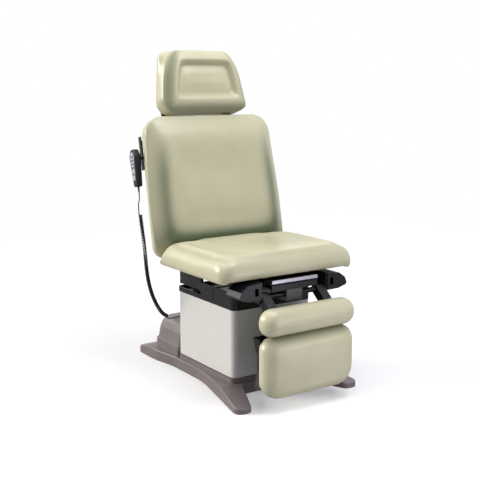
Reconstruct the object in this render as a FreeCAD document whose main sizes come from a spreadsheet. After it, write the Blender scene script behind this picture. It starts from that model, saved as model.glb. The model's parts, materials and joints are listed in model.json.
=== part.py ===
"""Powered procedure chair on a pedestal: telescoping lift, tilting seat, reclining back with a
sliding headrest, swing-up leg rest, pull-out pan and a corded handset.

Millimetres, +Z up. The chair faces -Y and the patient's left is +X. The origin lies on the floor
under the middle of the lift column.
"""
import FreeCAD, Part
import math
import os
import Sketcher

Vec = FreeCAD.Vector

SIZES = {
    # clearances
    "running_gap": 0.05,
    "slide_gap": 0.3,
    # pedestal plan, half widths from the middle and distances from the column's axis
    "waist_margin": 8,
    "waist_front": 5,
    "rear_half": 216,
    "rear_end": 534,
    "rear_flare_start": 235,
    "rear_flare_end": 350,
    "front_margin": 7,
    "foot_outer_half": 290,
    "foot_width": 66,
    "foot_splay": 74,
    "foot_tip": 388,
    "foot_root_round": 40,
    "foot_tip_round": 27,
    "waist_round": 500,
    "rear_flare_round": 260,
    "rear_corner_round": 60,
    # pedestal heights
    "base_height": 45,
    "base_edge_round": 5,
    "foot_tip_height": 20,
    "rear_tip_height": 16,
    "rear_slope_start": 430,
    "well_floor": 10,
    "plinth_height": 19,
    "plinth_lip": 4,
    # lift column shrouds
    "column_half_width": 184,
    "column_half_depth": 206,
    "column_corner": 24,
    "column_gap": 3,
    "shroud_height": 262.6,
    "shroud_wall": 3.5,
    "shroud_gap": 4,
    "shroud_stagger": 12,
    "glide_width": 24,
    "glide_length": 50,
    # lift tubes and motor
    "tube_half": 60,
    "tube_wall": 5,
    "tube_gap": 0.5,
    "tube_y": 60,
    "tube_stagger": 12,
    "tube_top": 290,
    "lift_motor_radius": 32,
    "lift_motor_height": 160,
    "lift_gear_height": 34,
    # rear electrics housing
    "housing_half": 184,
    "housing_front": 212,
    "housing_rear": 428,
    "housing_height": 145,
    "housing_wall": 3,
    "rear_panel_half": 120,
    "rear_panel_height": 58,
    "rear_panel_depth": 4,
    "inlet_width": 48,
    "inlet_height": 27,
    "inlet_depth": 22,
    "control_length": 190,
    "control_depth": 130,
    "control_height": 46,
    "transformer_length": 96,
    "transformer_depth": 84,
    "transformer_height": 74,
    # carriage
    "carriage_plate": 8,
    "cover_half_width": 183,
    "cover_front": 209,
    "cover_rear": 215,
    "cover_height": 68,
    "cover_wall": 4,
    "cover_tray": 19,
    "cover_step": 22,
    "cover_slant": 23,
    "cover_window": 150,
    # tilt pivot and ram
    "tilt_y": 130,
    "tilt_z": 440,
    "pin_radius": 10,
    "lug_half": 22,
    "lug_inner": 120,
    "lug_thickness": 24,
    "ram_y": 110,
    "ram_radius": 25,
    "ram_bottom": 120,
    "ram_flange": 36,
    "ram_flange_thickness": 6,
    "rod_radius": 12,
    "roller_radius": 12,
    "roller_half": 12,
    "fork_cheek": 4,
    # seat frame
    "rail_inner": 148,
    "rail_width": 30,
    "rail_bottom": 425,
    "rail_top": 463,
    "rail_front": 255,
    "rail_rear": 215,
    "skirt_thickness": 5,
    "skirt_bottom": 363,
    "skirt_front": 30,
    "skirt_rear": 197,
    "deck_thickness": 8,
    "deck_front": 175,
    "deck_rear": 75,
    "beam_front": 60,
    "beam_rear": 90,
    "beam_height": 20,
    "hinge_plate": 6,
    "cross_front": 300,
    "cross_rear": 270,
    "cross_height": 22,
    "board_thickness": 8,
    "board_half": 262,
    "board_front": 285,
    "board_rear": 140,
    # seat cushion
    "seat_half": 305,
    "seat_front": 328,
    "seat_rear": 168,
    "seat_thickness": 79,
    "seat_crest": 62,
    "seat_dish": 9,
    # leg support sockets
    "socket_tip": 251,
    "socket_top": 461,
    "socket_bottom": 395,
    "socket_front": 345,
    "socket_rear": 257,
    "socket_slot_width": 16,
    "socket_slot_height": 28,
    "socket_slot_depth": 70,
    # treatment pan
    "pan_half": 105,
    "pan_front": 338,
    "pan_rear": 82,
    "pan_bottom": 446,
    "pan_height": 15,
    "pan_wall": 2,
    "pan_lip": 6,
    "runner_width": 48,
    "runner_thickness": 4,
    # leg rest
    "knee_y": 320,
    "knee_z": 400,
    "arm_inner": 110,
    "arm_width": 37.5,
    "arm_front": 386,
    "arm_thickness": 16,
    "arm_bottom": 95,
    "arm_boss": 18,
    "tie_bottom": 130,
    "tie_height": 90,
    "tie_thickness": 6,
    "leg_board": 8,
    "bolster_half": 206,
    "bolster_bottom": 281,
    "bolster_top": 379,
    "bolster_thickness": 71,
    "pad_half": 204,
    "pad_bottom": 48,
    "pad_top": 277,
    "pad_thickness": 72,
    "shell_half": 192,
    "shell_bottom": 76,
    "shell_top": 266,
    "shell_depth": 40,
    "shell_wall": 3,
    "shell_waist": 14,
    # knee and recline drives
    "knee_drive_half": 36,
    "knee_drive_rear": 238,
    "knee_drive_height": 42,
    "knee_motor_radius": 20,
    "recline_drive_half": 38,
    "recline_drive_rear": 213,
    "recline_drive_bottom": 405,
    "recline_motor_radius": 22,
    "drive_motor_length": 70,
    # back, measured up from its hinge along the back and forwards from the hinge
    "recline_y": 195,
    "recline_z": 450,
    "back_lean_angle": 11.7,
    "back_overhang": 24,
    "back_taper": 14,
    "back_bottom": 26,
    "back_top": 590,
    "back_face": 95,
    "back_rear": 7,
    "back_dish": 9,
    "back_shell": 15,
    "back_shell_half": 286,
    "back_shell_top": 572,
    "back_shell_lower_round": 40,
    "back_shell_upper_round": 70,
    "back_screw_inset": 46,
    "back_screw_low": 60,
    "back_screw_high": 80,
    "upright_inner": 92,
    "upright_width": 30,
    "upright_depth": 20,
    "upright_bottom": 60,
    "upright_top": 560,
    "tie_plate": 50,
    "ear_inner": 124,
    "ear_width": 22,
    "ear_radius": 18,
    # headrest
    "head_bottom": 600,
    "head_top": 863,
    "head_lower_half": 210,
    "head_upper_half": 169,
    "head_face": 80,
    "head_rear": 16,
    "head_board": 9,
    "head_recess": 12,
    "bar_middle": 150,
    "bar_width": 39.4,
    "bar_thickness": 7.4,
    "bar_bottom": 370,
    "bar_top": 770,
    "sleeve_wall": 4,
    "sleeve_bottom": 480,
    "sleeve_height": 80,
    # handset and its hook, on the patient's right
    "handset_reach": 28,
    "handset_thickness": 26,
    "handset_middle": 394,
    "handset_length": 150,
    "handset_width": 54,
    "handset_tail_width": 30,
    "handset_y": 5,
    "keypad_thickness": 1.5,
    "hook_reach": 4,
    "hook_thickness": 4,
    "hook_bottom": 385,
    "hook_top": 520,
    "hook_width": 18,
    "hook_peg": 5,
    "hook_foot": 30,
    "hook_foot_inset": 16,
    "relief_radius": 4.2,
    "relief_length": 22,
    # handset cord
    "wire_radius": 2.3,
    "curl_radius": 6.2,
    "curl_count": 78,
    "lead_out": 6,
    "lead_forward": 18.12,
    "lead_drop": 83.82,
    "tail_run": 90,
    "tail_rise": 7,
    "gland_x": 96,
    "gland_y": 290,
    "gland_length": 26,
    # small fasteners
    "screw_radius": 5,
    "screw_height": 2.6,
}


class Size:
    """A size that keeps its number and the sheet expression that it comes from."""

    def __init__(self, number, text):
        self.number = number
        self.text = text

    def __add__(self, other):
        other = as_size(other)
        return Size(self.number + other.number, f"({self.text} + {other.text})")

    def __sub__(self, other):
        other = as_size(other)
        return Size(self.number - other.number, f"({self.text} - {other.text})")

    def __mul__(self, other):
        other = as_size(other)
        return Size(self.number * other.number, f"({self.text} * {other.text})")

    def __truediv__(self, other):
        other = as_size(other)
        return Size(self.number / other.number, f"({self.text} / {other.text})")

    def __neg__(self):
        return Size(-self.number, f"(-{self.text})")

    def __radd__(self, other):
        return as_size(other) + self

    def __rsub__(self, other):
        return as_size(other) - self

    def __rmul__(self, other):
        return as_size(other) * self

    def __float__(self):
        return float(self.number)


def as_size(value):
    return value if isinstance(value, Size) else Size(value, repr(value))


doc = FreeCAD.newDocument("ProcedureChair")
sheet = doc.addObject("Spreadsheet::Sheet", "Sizes")
for row, (alias, number) in enumerate(SIZES.items(), 1):
    sheet.set(f"A{row}", alias)
    sheet.set(f"B{row}", str(number))
    sheet.setAlias(f"B{row}", alias)
doc.recompute()


class Sheet:
    """Each alias of the sheet as a Size."""

    def __getattr__(self, alias):
        return Size(float(sheet.get(alias)), f"Sizes.{alias}")


s = Sheet()
nodes = []


def node(label, obj):
    """Name a finished sub-part, whose label is also its file name."""
    obj.Label = label
    nodes.append(obj)
    return obj


def bind(obj, path, size):
    obj.setExpression(path, as_size(size).text)


def box(name, low, high):
    obj = doc.addObject("Part::Box", name)
    for side, axis, start, end in zip(("Length", "Width", "Height"), "xyz", low, high):
        bind(obj, side, as_size(end) - start)
        bind(obj, f"Placement.Base.{axis}", start)
    return obj


TURN_FROM_Z = {
    "X": FreeCAD.Rotation(Vec(0, 1, 0), 90),
    "Y": FreeCAD.Rotation(Vec(1, 0, 0), -90),
    "Z": FreeCAD.Rotation(),
}


def cylinder(name, radius, start, length, axis):
    """A round bar from its start point along +X, +Y or +Z."""
    obj = doc.addObject("Part::Cylinder", name)
    obj.Placement = FreeCAD.Placement(Vec(), TURN_FROM_Z[axis])
    bind(obj, "Radius", radius)
    bind(obj, "Height", length)
    for letter, value in zip("xyz", start):
        bind(obj, f"Placement.Base.{letter}", value)
    return obj


def fuse(name, *items):
    obj = doc.addObject("Part::MultiFuse", name)
    obj.Shapes = list(items)
    return obj


def cut(name, base, *tools):
    obj = doc.addObject("Part::Cut", name)
    obj.Base = base
    obj.Tool = tools[0] if len(tools) == 1 else fuse(f"{name}_tools", *tools)
    return obj


def common(name, first, second):
    obj = doc.addObject("Part::Common", name)
    obj.Base = first
    obj.Tool = second
    return obj


def group(name, *items):
    obj = doc.addObject("Part::Compound", name)
    obj.Links = list(items)
    return obj


def polygon(sketch, points):
    """Close a loop of straight sides in a sketch, each corner held by two bound distances."""
    corners = [Vec(float(as_size(u)), float(as_size(v)), 0) for u, v in points]
    count = len(corners)
    for index, corner in enumerate(corners):
        sketch.addGeometry(Part.LineSegment(corner, corners[(index + 1) % count]))
    for index in range(count):
        sketch.addConstraint(Sketcher.Constraint("Coincident", index, 2, (index + 1) % count, 1))
    for index, ends in enumerate(points):
        for kind, value in zip(("DistanceX", "DistanceY"), ends):
            value = as_size(value)
            held = Sketcher.Constraint(kind, -1, 1, index, 1, value.number)
            number = sketch.addConstraint(held)
            sketch.setExpression(f"Constraints[{number}]", value.text)


PLANE_SHIFT = {"YZ_Plane": "x", "XZ_Plane": "y", "XY_Plane": "z"}


def prism(name, plane, points, start, depth):
    """A padded outline, drawn on an origin plane and pushed along that plane's axis."""
    body = doc.addObject("PartDesign::Body", name)
    sketch = body.newObject("Sketcher::SketchObject", f"{name}_outline")
    support = [item for item in body.Origin.OriginFeatures if item.Role == plane][0]
    sketch.AttachmentSupport = [(support, "")]
    sketch.MapMode = "FlatFace"
    polygon(sketch, points)
    pad = body.newObject("PartDesign::Pad", f"{name}_pad")
    pad.Profile = sketch
    pad.Reversed = plane == "XZ_Plane"
    bind(pad, "Length", depth)
    bind(body, f"Placement.Base.{PLANE_SHIFT[plane]}", start)
    return body


def fillet(name, base, radii):
    """Round the edges for which radii gives a radius."""
    doc.recompute()
    obj = doc.addObject("Part::Fillet", name)
    obj.Base = base
    picked = []
    for index, edge in enumerate(base.Shape.Edges, 1):
        radius = radii(edge)
        if radius:
            picked.append((index, float(radius), float(radius)))
    obj.Edges = picked
    return obj


def runs_along(edge, axis):
    """Whether an edge is a straight line along one of the frame's axes."""
    if edge.Curve.TypeId != "Part::GeomLine":
        return False
    return abs(edge.Curve.Direction.dot(axis)) > 0.999


def upright(radius):
    """Pick the edges along Z."""
    return lambda edge: radius if runs_along(edge, Vec(0, 0, 1)) else None


def along_x(radius):
    """Pick the edges along X."""
    return lambda edge: radius if runs_along(edge, Vec(1, 0, 0)) else None


def along_y(radius):
    """Pick the edges along Y."""
    return lambda edge: radius if runs_along(edge, Vec(0, 1, 0)) else None


def lean_back(obj):
    """Carry a piece drawn on an upright back to the hinge, and lean it with the back."""
    turn = FreeCAD.Rotation(Vec(-1, 0, 0), float(s.back_lean_angle))
    obj.Placement = FreeCAD.Placement(Vec(), turn)
    bind(obj, "Placement.Base.y", s.recline_y)
    bind(obj, "Placement.Base.z", s.recline_z)
    bind(obj, "Placement.Rotation.Angle", s.back_lean_angle)
    return obj


def copy_of(name, source):
    """A refined copy, which takes a placement of its own."""
    obj = doc.addObject("Part::Refine", name)
    obj.Source = source
    return obj


def shaped(name, shape):
    obj = doc.addObject("Part::Feature", name)
    obj.Shape = shape
    return obj


def rounded_wire(corners, radii):
    """A closed outline of straight sides joined by corner arcs."""
    count = len(corners)
    arcs = []
    for index, here in enumerate(corners):
        back = (corners[index - 1] - here).normalize()
        ahead = (corners[(index + 1) % count] - here).normalize()
        half = back.getAngle(ahead) / 2
        middle = (back + ahead).normalize()
        reach = radii[index] / math.tan(half)
        centre = here + middle * (radii[index] / math.sin(half))
        arcs.append((here + back * reach, centre - middle * radii[index], here + ahead * reach))
    edges = []
    for index, (start, top, end) in enumerate(arcs):
        edges.append(Part.Arc(start, top, end).toShape())
        edges.append(Part.LineSegment(end, arcs[(index + 1) % count][0]).toShape())
    return Part.Wire(edges)


def panel_wire(lower_half, upper_half, bottom, top, lower_round, upper_round, depth,
               upper_depth=None):
    """An outline that stands at a distance along Y, which may differ at its top."""
    above = depth if upper_depth is None else upper_depth
    corners = [
        Vec(-lower_half, depth, bottom),
        Vec(lower_half, depth, bottom),
        Vec(upper_half, above, top),
        Vec(-upper_half, above, top),
    ]
    return rounded_wire(corners, [lower_round, lower_round, upper_round, upper_round])


def plan_wire(half, front, rear, front_round, rear_round, height):
    """An outline that lies flat at a height, with its front towards -Y."""
    corners = [
        Vec(-half, -front, height),
        Vec(half, -front, height),
        Vec(half, rear, height),
        Vec(-half, rear, height),
    ]
    return rounded_wire(corners, [front_round, front_round, rear_round, rear_round])


def loft(wires, ruled=False):
    return Part.makeLoft(wires, True, ruled)


# Pedestal


def waist_half():
    """Half the pedestal's width at its waist, a margin outside the plinth."""
    return s.column_half_width + s.plinth_lip + s.waist_margin


def front_edge():
    """How far the pedestal's front edge stands before the column."""
    return s.column_half_depth + s.front_margin


def base_corners():
    """Corners of the pedestal's plan on the +X side, front to rear, with their radii."""
    inner = s.foot_outer_half - s.foot_width
    return [
        (inner - s.foot_splay, -front_edge(), s.foot_root_round),
        (inner, -s.foot_tip, s.foot_tip_round),
        (s.foot_outer_half, -s.foot_tip, s.foot_tip_round),
        (waist_half(), -s.waist_front, s.waist_round),
        (waist_half(), s.rear_flare_start, s.rear_flare_round),
        (s.rear_half, s.rear_flare_end, s.rear_flare_round),
        (s.rear_half, s.rear_end, s.rear_corner_round),
    ]


def base_block(name, height):
    """The pedestal's plan as an upright block with rounded corners."""
    right = [(x, y) for x, y, radius in base_corners()]
    left = [(-x, y) for x, y in reversed(right)]
    block = prism(f"{name}_plan", "XY_Plane", right + left, 0, height)

    def corner_radius(edge):
        if not runs_along(edge, Vec(0, 0, 1)):
            return None
        place = edge.Vertexes[0].Point

        def distance(corner):
            return math.hypot(abs(place.x) - float(corner[0]), place.y - float(corner[1]))

        return min(base_corners(), key=distance)[2]

    return fillet(name, block, corner_radius)


def base_slope(name, half):
    """The pedestal's side view: low at the feet, level under the column, low again at the rear."""
    points = [
        (-s.foot_tip - 10, -20),
        (-s.foot_tip - 10, s.foot_tip_height),
        (-front_edge(), s.base_height),
        (s.rear_slope_start, s.base_height),
        (s.rear_end + 10, s.rear_tip_height),
        (s.rear_end + 10, -20),
    ]
    return prism(name, "YZ_Plane", points, -half, 2 * half)


def plinth_top():
    return s.base_height + s.plinth_height


def column_block(name, half_width, half_depth, corner, bottom, top):
    raw = box(f"{name}_box", (-half_width, -half_depth, bottom), (half_width, half_depth, top))
    return fillet(name, raw, upright(corner))


def shroud_half(stage):
    """Half width and half depth of the outer (0), middle (1) or inner (2) shroud."""
    step = stage * (s.shroud_wall + s.shroud_gap)
    return s.column_half_width - step, s.column_half_depth - step


def shroud_corner(stage):
    return s.column_corner - stage * s.shroud_gap


def build_base():
    form = common("base_form", base_block("base_outer", s.base_height + 20),
                  base_slope("base_side", s.foot_outer_half + 20))
    soft = fillet("base_soft", form, base_top_edge)
    half_width, half_depth = shroud_half(0)
    plinth = column_block("base_plinth", half_width + s.plinth_lip, half_depth - s.slide_gap,
                          s.column_corner, s.base_height / 2, plinth_top())
    inner_width, inner_depth = shroud_half(2)
    well = column_block("base_well", inner_width + s.slide_gap, inner_depth + s.slide_gap,
                        shroud_corner(2), s.well_floor, plinth_top() + 10)
    node("base_casting", cut("base_casting_cut", fuse("base_casting_sum", soft, plinth), well))


def base_top_edge(edge):
    """Round the pedestal's upper rim, leaving the creases across its top."""
    if edge.BoundBox.ZMin < float(s.rear_tip_height) / 2:
        return None
    return None if runs_along(edge, Vec(1, 0, 0)) and is_crease(edge) else s.base_edge_round


def is_crease(edge):
    y = edge.Vertexes[0].Y
    creases = (-float(front_edge()), float(s.rear_slope_start))
    return min(abs(y - crease) for crease in creases) < 0.5


def shroud(label, stage, bottom, top):
    half_width, half_depth = shroud_half(stage)
    corner = shroud_corner(stage)
    outer = column_block(f"{label}_outer", half_width, half_depth, corner, bottom, top)
    inner = column_block(f"{label}_inner", half_width - s.shroud_wall, half_depth - s.shroud_wall,
                         corner - s.shroud_wall, bottom - 1, top + 1)
    return node(label, cut(f"{label}_cut", outer, inner))


def shroud_bottom():
    return plinth_top() + s.column_gap


def shroud_top():
    return shroud_bottom() + s.shroud_height


def build_shrouds():
    shroud("outer_shroud", 0, shroud_bottom(), shroud_top())
    shroud("middle_shroud", 1, shroud_bottom(), shroud_top() - s.shroud_stagger)
    shroud("inner_shroud", 2, s.well_floor, shroud_top() - 2 * s.shroud_stagger)
    build_glides()


def build_glides():
    """Plastic strips on both faces of the middle shroud, which keep the shrouds apart."""
    half_width, half_depth = shroud_half(1)
    thick = s.shroud_gap - s.slide_gap
    high = shroud_top() - s.shroud_stagger - s.glide_length
    low = shroud_bottom()
    strips = []
    for outside, bottom in ((True, high), (False, low)):
        near_x = half_width if outside else half_width - s.shroud_wall - thick
        near_y = half_depth if outside else half_depth - s.shroud_wall - thick
        for side in (-1, 1):
            for place in (-1, 1):
                tag = f"glide_{int(outside)}_{side + 1}_{place + 1}"
                along = place * half_depth / 2 - s.glide_width / 2
                start = near_x if side > 0 else -near_x - thick
                strips.append(box(f"{tag}_x", (start, along, bottom),
                                  (start + thick, along + s.glide_width, bottom + s.glide_length)))
                along = place * half_width / 2 - s.glide_width / 2
                start = near_y if side > 0 else -near_y - thick
                strips.append(box(f"{tag}_y", (along, start, bottom),
                                  (along + s.glide_width, start + thick, bottom + s.glide_length)))
    node("shroud_glides", group("shroud_glides_set", *strips))


def lift_tube(label, stage, bottom, top):
    half = s.tube_half - stage * (s.tube_wall + s.tube_gap)
    hole = half - s.tube_wall
    outer = box(f"{label}_outer", (-half, s.tube_y - half, bottom), (half, s.tube_y + half, top))
    inner = box(f"{label}_hole", (-hole, s.tube_y - hole, bottom - 1),
                (hole, s.tube_y + hole, top + 1))
    node(label, cut(f"{label}_cut", outer, inner))


def carriage_bottom():
    return shroud_top() + 0.4 - s.carriage_plate


def build_lift():
    floor = s.well_floor
    lift_tube("lift_tube_fixed", 0, floor, s.tube_top)
    lift_tube("lift_tube_middle", 1, floor + s.tube_stagger, s.tube_top + s.tube_stagger)
    lift_tube("lift_tube_inner", 2, floor + 2 * s.tube_stagger, carriage_bottom())
    reach = s.tube_half + s.lift_motor_radius + 10
    motor = cylinder("lift_motor_can", s.lift_motor_radius,
                     (-reach, s.tube_y, floor), s.lift_motor_height, "Z")
    gear = box("lift_motor_gear", (-reach, s.tube_y - s.lift_motor_radius, floor),
               (-s.tube_half, s.tube_y + s.lift_motor_radius, floor + s.lift_gear_height))
    node("lift_motor", fuse("lift_motor_sum", motor, gear))


def housing_wires(inset):
    """Rings of the rear housing from its foot to its top, all drawn in by an inset."""
    half = float(s.housing_half)
    front = float(s.housing_front)
    rear = float(s.housing_rear)
    floor = float(s.base_height)
    tall = float(s.housing_height)
    rings = [
        (0, 0, 0.00), (0.5, 3, 0.27), (7, 8, 0.31), (13, 15, 0.65),
        (20, 26, 0.83), (32, 46, 0.95), (52, 80, 1.00),
    ]
    wires = []
    for side, back, level in rings:
        height = floor + level * tall - (inset if level else -0.01)
        wires.append(plan_wire(half - side - inset, -front - inset, rear - back - inset,
                               8 - inset / 2, 44 - inset, height))
    return wires


def build_housing():
    """The hollow cover behind the column, with the electrics that it holds."""
    wall = float(s.housing_wall)
    outside = loft(housing_wires(0), ruled=True)
    inside = loft(housing_wires(wall), ruled=True)
    foot = Part.Face(housing_wires(wall)[0]).extrude(Vec(0, 0, -1))
    shell = shaped("rear_housing_shell", outside.cut(inside).cut(foot))
    middle = s.base_height + s.housing_height * 0.31 + s.rear_panel_height / 2
    rear = s.housing_rear - 8
    window = box("rear_housing_window",
                 (-s.rear_panel_half, rear - 20, middle - s.rear_panel_height / 2),
                 (s.rear_panel_half, rear + 20, middle + s.rear_panel_height / 2))
    node("rear_housing", cut("rear_housing_cut", shell, window))

    gap = s.slide_gap
    face = rear - s.rear_panel_depth
    plate = box("rear_panel_plate",
                (-s.rear_panel_half + gap, face, middle - s.rear_panel_height / 2 + gap),
                (s.rear_panel_half - gap, rear, middle + s.rear_panel_height / 2 - gap))
    hole = box("rear_panel_hole", (-s.inlet_width / 2, face - 1, middle - s.inlet_height / 2),
               (s.inlet_width / 2, rear + 1, middle + s.inlet_height / 2))
    node("rear_panel", cut("rear_panel_cut", plate, hole))
    socket = box("power_inlet_body",
                 (-s.inlet_width / 2 + gap, rear - s.inlet_depth, middle - s.inlet_height / 2 + gap),
                 (s.inlet_width / 2 - gap, rear + 2, middle + s.inlet_height / 2 - gap))
    mouth = box("power_inlet_mouth", (-12, rear - s.inlet_depth + 4, middle - 8.5),
                (12, rear + 3, middle + 8.5))
    pins = [box(f"power_inlet_pin_{index}", (7 * index - 1, rear - s.inlet_depth, middle - 2),
                (7 * index + 1, rear - 4, middle + 2)) for index in (-1, 0, 1)]
    node("power_inlet", fuse("power_inlet_sum", cut("power_inlet_cut", socket, mouth), *pins))

    floor = s.base_height
    start = s.housing_front + 20
    node("control_box", box("control_box_case", (-s.control_length / 2 + 40, start, floor),
                            (s.control_length / 2 + 40, start + s.control_depth,
                             floor + s.control_height)))
    left = -s.control_length / 2 + 30
    node("transformer", box("transformer_core",
                            (left - s.transformer_length, start, floor),
                            (left, start + s.transformer_depth, floor + s.transformer_height)))


# Carriage


def carriage_top():
    return carriage_bottom() + s.carriage_plate


def build_carriage():
    half_width, half_depth = shroud_half(0)
    drawn_in = s.shroud_wall + s.slide_gap
    plate = column_block("carriage_plate_block", half_width - drawn_in, half_depth - drawn_in,
                         s.column_corner - s.shroud_wall, carriage_bottom(), carriage_top())
    hole = cylinder("carriage_ram_hole", s.ram_radius + s.slide_gap,
                    (0, -s.ram_y, carriage_bottom() - 1), s.carriage_plate + 2, "Z")
    solids = []
    bores = [hole]
    for side, name in ((1, "left"), (-1, "right")):
        start = s.lug_inner if side > 0 else -s.lug_inner - s.lug_thickness
        solids.append(box(f"carriage_lug_{name}",
                          (start, s.tilt_y - s.lug_half, carriage_top()),
                          (start + s.lug_thickness, s.tilt_y + s.lug_half, s.tilt_z)))
        solids.append(cylinder(f"carriage_eye_{name}", s.lug_half,
                               (start, s.tilt_y, s.tilt_z), s.lug_thickness, "X"))
        bores.append(cylinder(f"carriage_bore_{name}", s.pin_radius + s.running_gap / 2,
                              (start - 1, s.tilt_y, s.tilt_z), s.lug_thickness + 2, "X"))
    node("carriage_frame",
         cut("carriage_frame_cut", fuse("carriage_frame_sum", plate, *solids), *bores))
    pins = []
    for side, name in ((1, "left"), (-1, "right")):
        reach = s.rail_inner + s.rail_width
        start = s.lug_inner if side > 0 else -reach
        pins.append(cylinder(f"tilt_pin_{name}", s.pin_radius, (start, s.tilt_y, s.tilt_z),
                             reach - s.lug_inner, "X"))
    node("tilt_pins", group("tilt_pins_set", *pins))
    build_carriage_cover()


def build_carriage_cover():
    """A moulded tray round the carriage, deep in front and low behind, where the seat tilts down."""
    low = carriage_top()
    high = low + s.cover_height
    half = s.cover_half_width
    outer = fillet("cover_outer", box("cover_outer_box", (-half, -s.cover_front, low),
                                      (half, s.cover_rear, high)), upright(s.column_corner))
    inner = fillet("cover_inner",
                   box("cover_inner_box",
                       (-half + s.cover_wall, -s.cover_front + s.cover_wall, low + s.cover_wall),
                       (half - s.cover_wall, s.cover_rear - s.cover_wall, high + 1)),
                   upright(s.column_corner - s.cover_wall))
    window = box("cover_window", (-s.cover_window, -s.cover_window, low - 1),
                 (s.cover_window, s.tilt_y + s.lug_half + 1, low + s.cover_wall + 1))
    tray = low + s.cover_tray
    drop = prism("cover_drop", "YZ_Plane", [
        (s.cover_step, tray),
        (s.cover_step + s.cover_slant, tray + s.cover_slant),
        (s.cover_step + s.cover_slant, high + 1),
        (s.cover_rear + 1, high + 1),
        (s.cover_rear + 1, tray),
    ], -half - 1, 2 * half + 2)
    panels = []
    for side in (-1, 1):
        start = half - 1.5 if side > 0 else -half - 1
        panels.append(box(f"cover_panel_{side + 1}", (start, -s.cover_front + 40, low + 12),
                          (start + 2.5, -s.cover_step - 40, high - 14)))
    notch = box("cover_notch", (-s.pan_half, -s.cover_front - 1, high - 20),
                (s.pan_half, -s.cover_front + s.cover_wall + 1, high + 1))
    node("carriage_cover", cut("carriage_cover_cut", outer, inner, window, drop, notch, *panels))


def deck_bottom():
    return s.rail_bottom


def roller_height():
    return deck_bottom() - s.slide_gap - s.roller_radius


def build_ram():
    """The tilt ram stands in the column and lifts the seat frame's deck through a roller."""
    top = carriage_top() + s.ram_flange_thickness
    tube = cylinder("ram_tube", s.ram_radius, (0, -s.ram_y, s.ram_bottom), top - s.ram_bottom, "Z")
    flange = cylinder("ram_flange", s.ram_flange, (0, -s.ram_y, carriage_top()),
                      s.ram_flange_thickness, "Z")
    bore = cylinder("ram_bore", s.rod_radius + s.running_gap, (0, -s.ram_y, s.ram_bottom + 20),
                    top - s.ram_bottom, "Z")
    node("tilt_ram_body", cut("tilt_ram_body_cut", fuse("tilt_ram_body_sum", tube, flange), bore))

    centre = roller_height()
    saddle = centre - s.roller_radius - 3
    rod = cylinder("ram_rod", s.rod_radius, (0, -s.ram_y, s.ram_bottom + 25),
                   saddle - s.ram_bottom - 25, "Z")
    wide = s.roller_half + s.slide_gap + s.fork_cheek
    block = box("ram_fork_block", (-wide, -s.ram_y - 9, saddle - 6), (wide, -s.ram_y + 9, centre + 6))
    slot = box("ram_fork_slot", (-s.roller_half - s.slide_gap, -s.ram_y - 10, saddle),
               (s.roller_half + s.slide_gap, -s.ram_y + 10, centre + 7))
    pin = cylinder("ram_fork_pin", s.rod_radius / 3, (-wide, -s.ram_y, centre), 2 * wide, "X")
    node("tilt_ram_rod", fuse("tilt_ram_rod_sum", rod, cut("ram_fork", block, slot), pin))
    wheel = cylinder("tilt_roller_wheel", s.roller_radius, (-s.roller_half, -s.ram_y, centre),
                     2 * s.roller_half, "X")
    eye = cylinder("tilt_roller_eye", s.rod_radius / 3 + s.running_gap,
                   (-s.roller_half - 1, -s.ram_y, centre), 2 * s.roller_half + 2, "X")
    node("tilt_roller", cut("tilt_roller_cut", wheel, eye))


# Seat


def mirrored_box(name, side, near, far, low, high):
    """A box on one side of the middle, between two distances from it."""
    start = near if side > 0 else -as_size(far)
    end = far if side > 0 else -as_size(near)
    return box(name, (start, low[0], low[1]), (end, high[0], high[1]))


def build_seat_frame():
    outer = s.rail_inner + s.rail_width
    solids = [
        box("frame_deck", (-s.rail_inner, -s.deck_front, deck_bottom()),
            (s.rail_inner, -s.deck_rear, deck_bottom() + s.deck_thickness)),
        box("frame_beam", (-s.rail_inner, s.beam_front, s.rail_bottom),
            (s.rail_inner, s.beam_rear, s.rail_bottom + s.beam_height)),
        box("frame_cross", (-s.rail_inner, -s.cross_front, s.pan_bottom - 4 - s.cross_height),
            (s.rail_inner, -s.cross_rear, s.pan_bottom - 4)),
    ]
    bores = []
    for side, name in ((1, "left"), (-1, "right")):
        solids.append(mirrored_box(f"frame_rail_{name}", side, s.rail_inner, outer,
                                   (-s.rail_front, s.rail_bottom), (s.rail_rear, s.rail_top)))
        solids.append(mirrored_box(f"frame_skirt_{name}", side, outer - s.skirt_thickness, outer,
                                   (s.skirt_front, s.skirt_bottom), (s.skirt_rear, s.rail_top)))
        start = s.rail_inner if side > 0 else -s.rail_inner - s.hinge_plate
        cheek = prism(f"frame_cheek_{name}", "YZ_Plane", [
            (-s.knee_y - 20, s.knee_z),
            (-s.knee_y - 10, s.knee_z - 20),
            (-s.knee_y + 20, s.knee_z - 20),
            (-s.rail_front + 20, s.rail_bottom),
            (-s.rail_front + 20, s.rail_top - 1),
            (-s.knee_y - 20, s.rail_top - 1),
        ], start, s.hinge_plate)
        solids.append(cheek)
        for spot, y, z in (("tilt", s.tilt_y, s.tilt_z), ("recline", s.recline_y, s.recline_z),
                           ("knee", -s.knee_y, s.knee_z)):
            begin = s.rail_inner - 1 if side > 0 else -outer - 1
            bores.append(cylinder(f"frame_bore_{spot}_{name}", s.pin_radius + s.running_gap,
                                  (begin, y, z), s.rail_width + 2, "X"))
    node("seat_frame", cut("seat_frame_cut", fuse("seat_frame_sum", *solids), *bores))
    board = box("seat_board_blank", (-s.board_half, -s.board_front, s.rail_top),
                (s.board_half, s.board_rear, s.rail_top + s.board_thickness))
    node("seat_board", fillet("seat_board_round", board, upright(30)))


def seat_cushion_bottom():
    return s.rail_top + s.board_thickness + s.slide_gap


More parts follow.
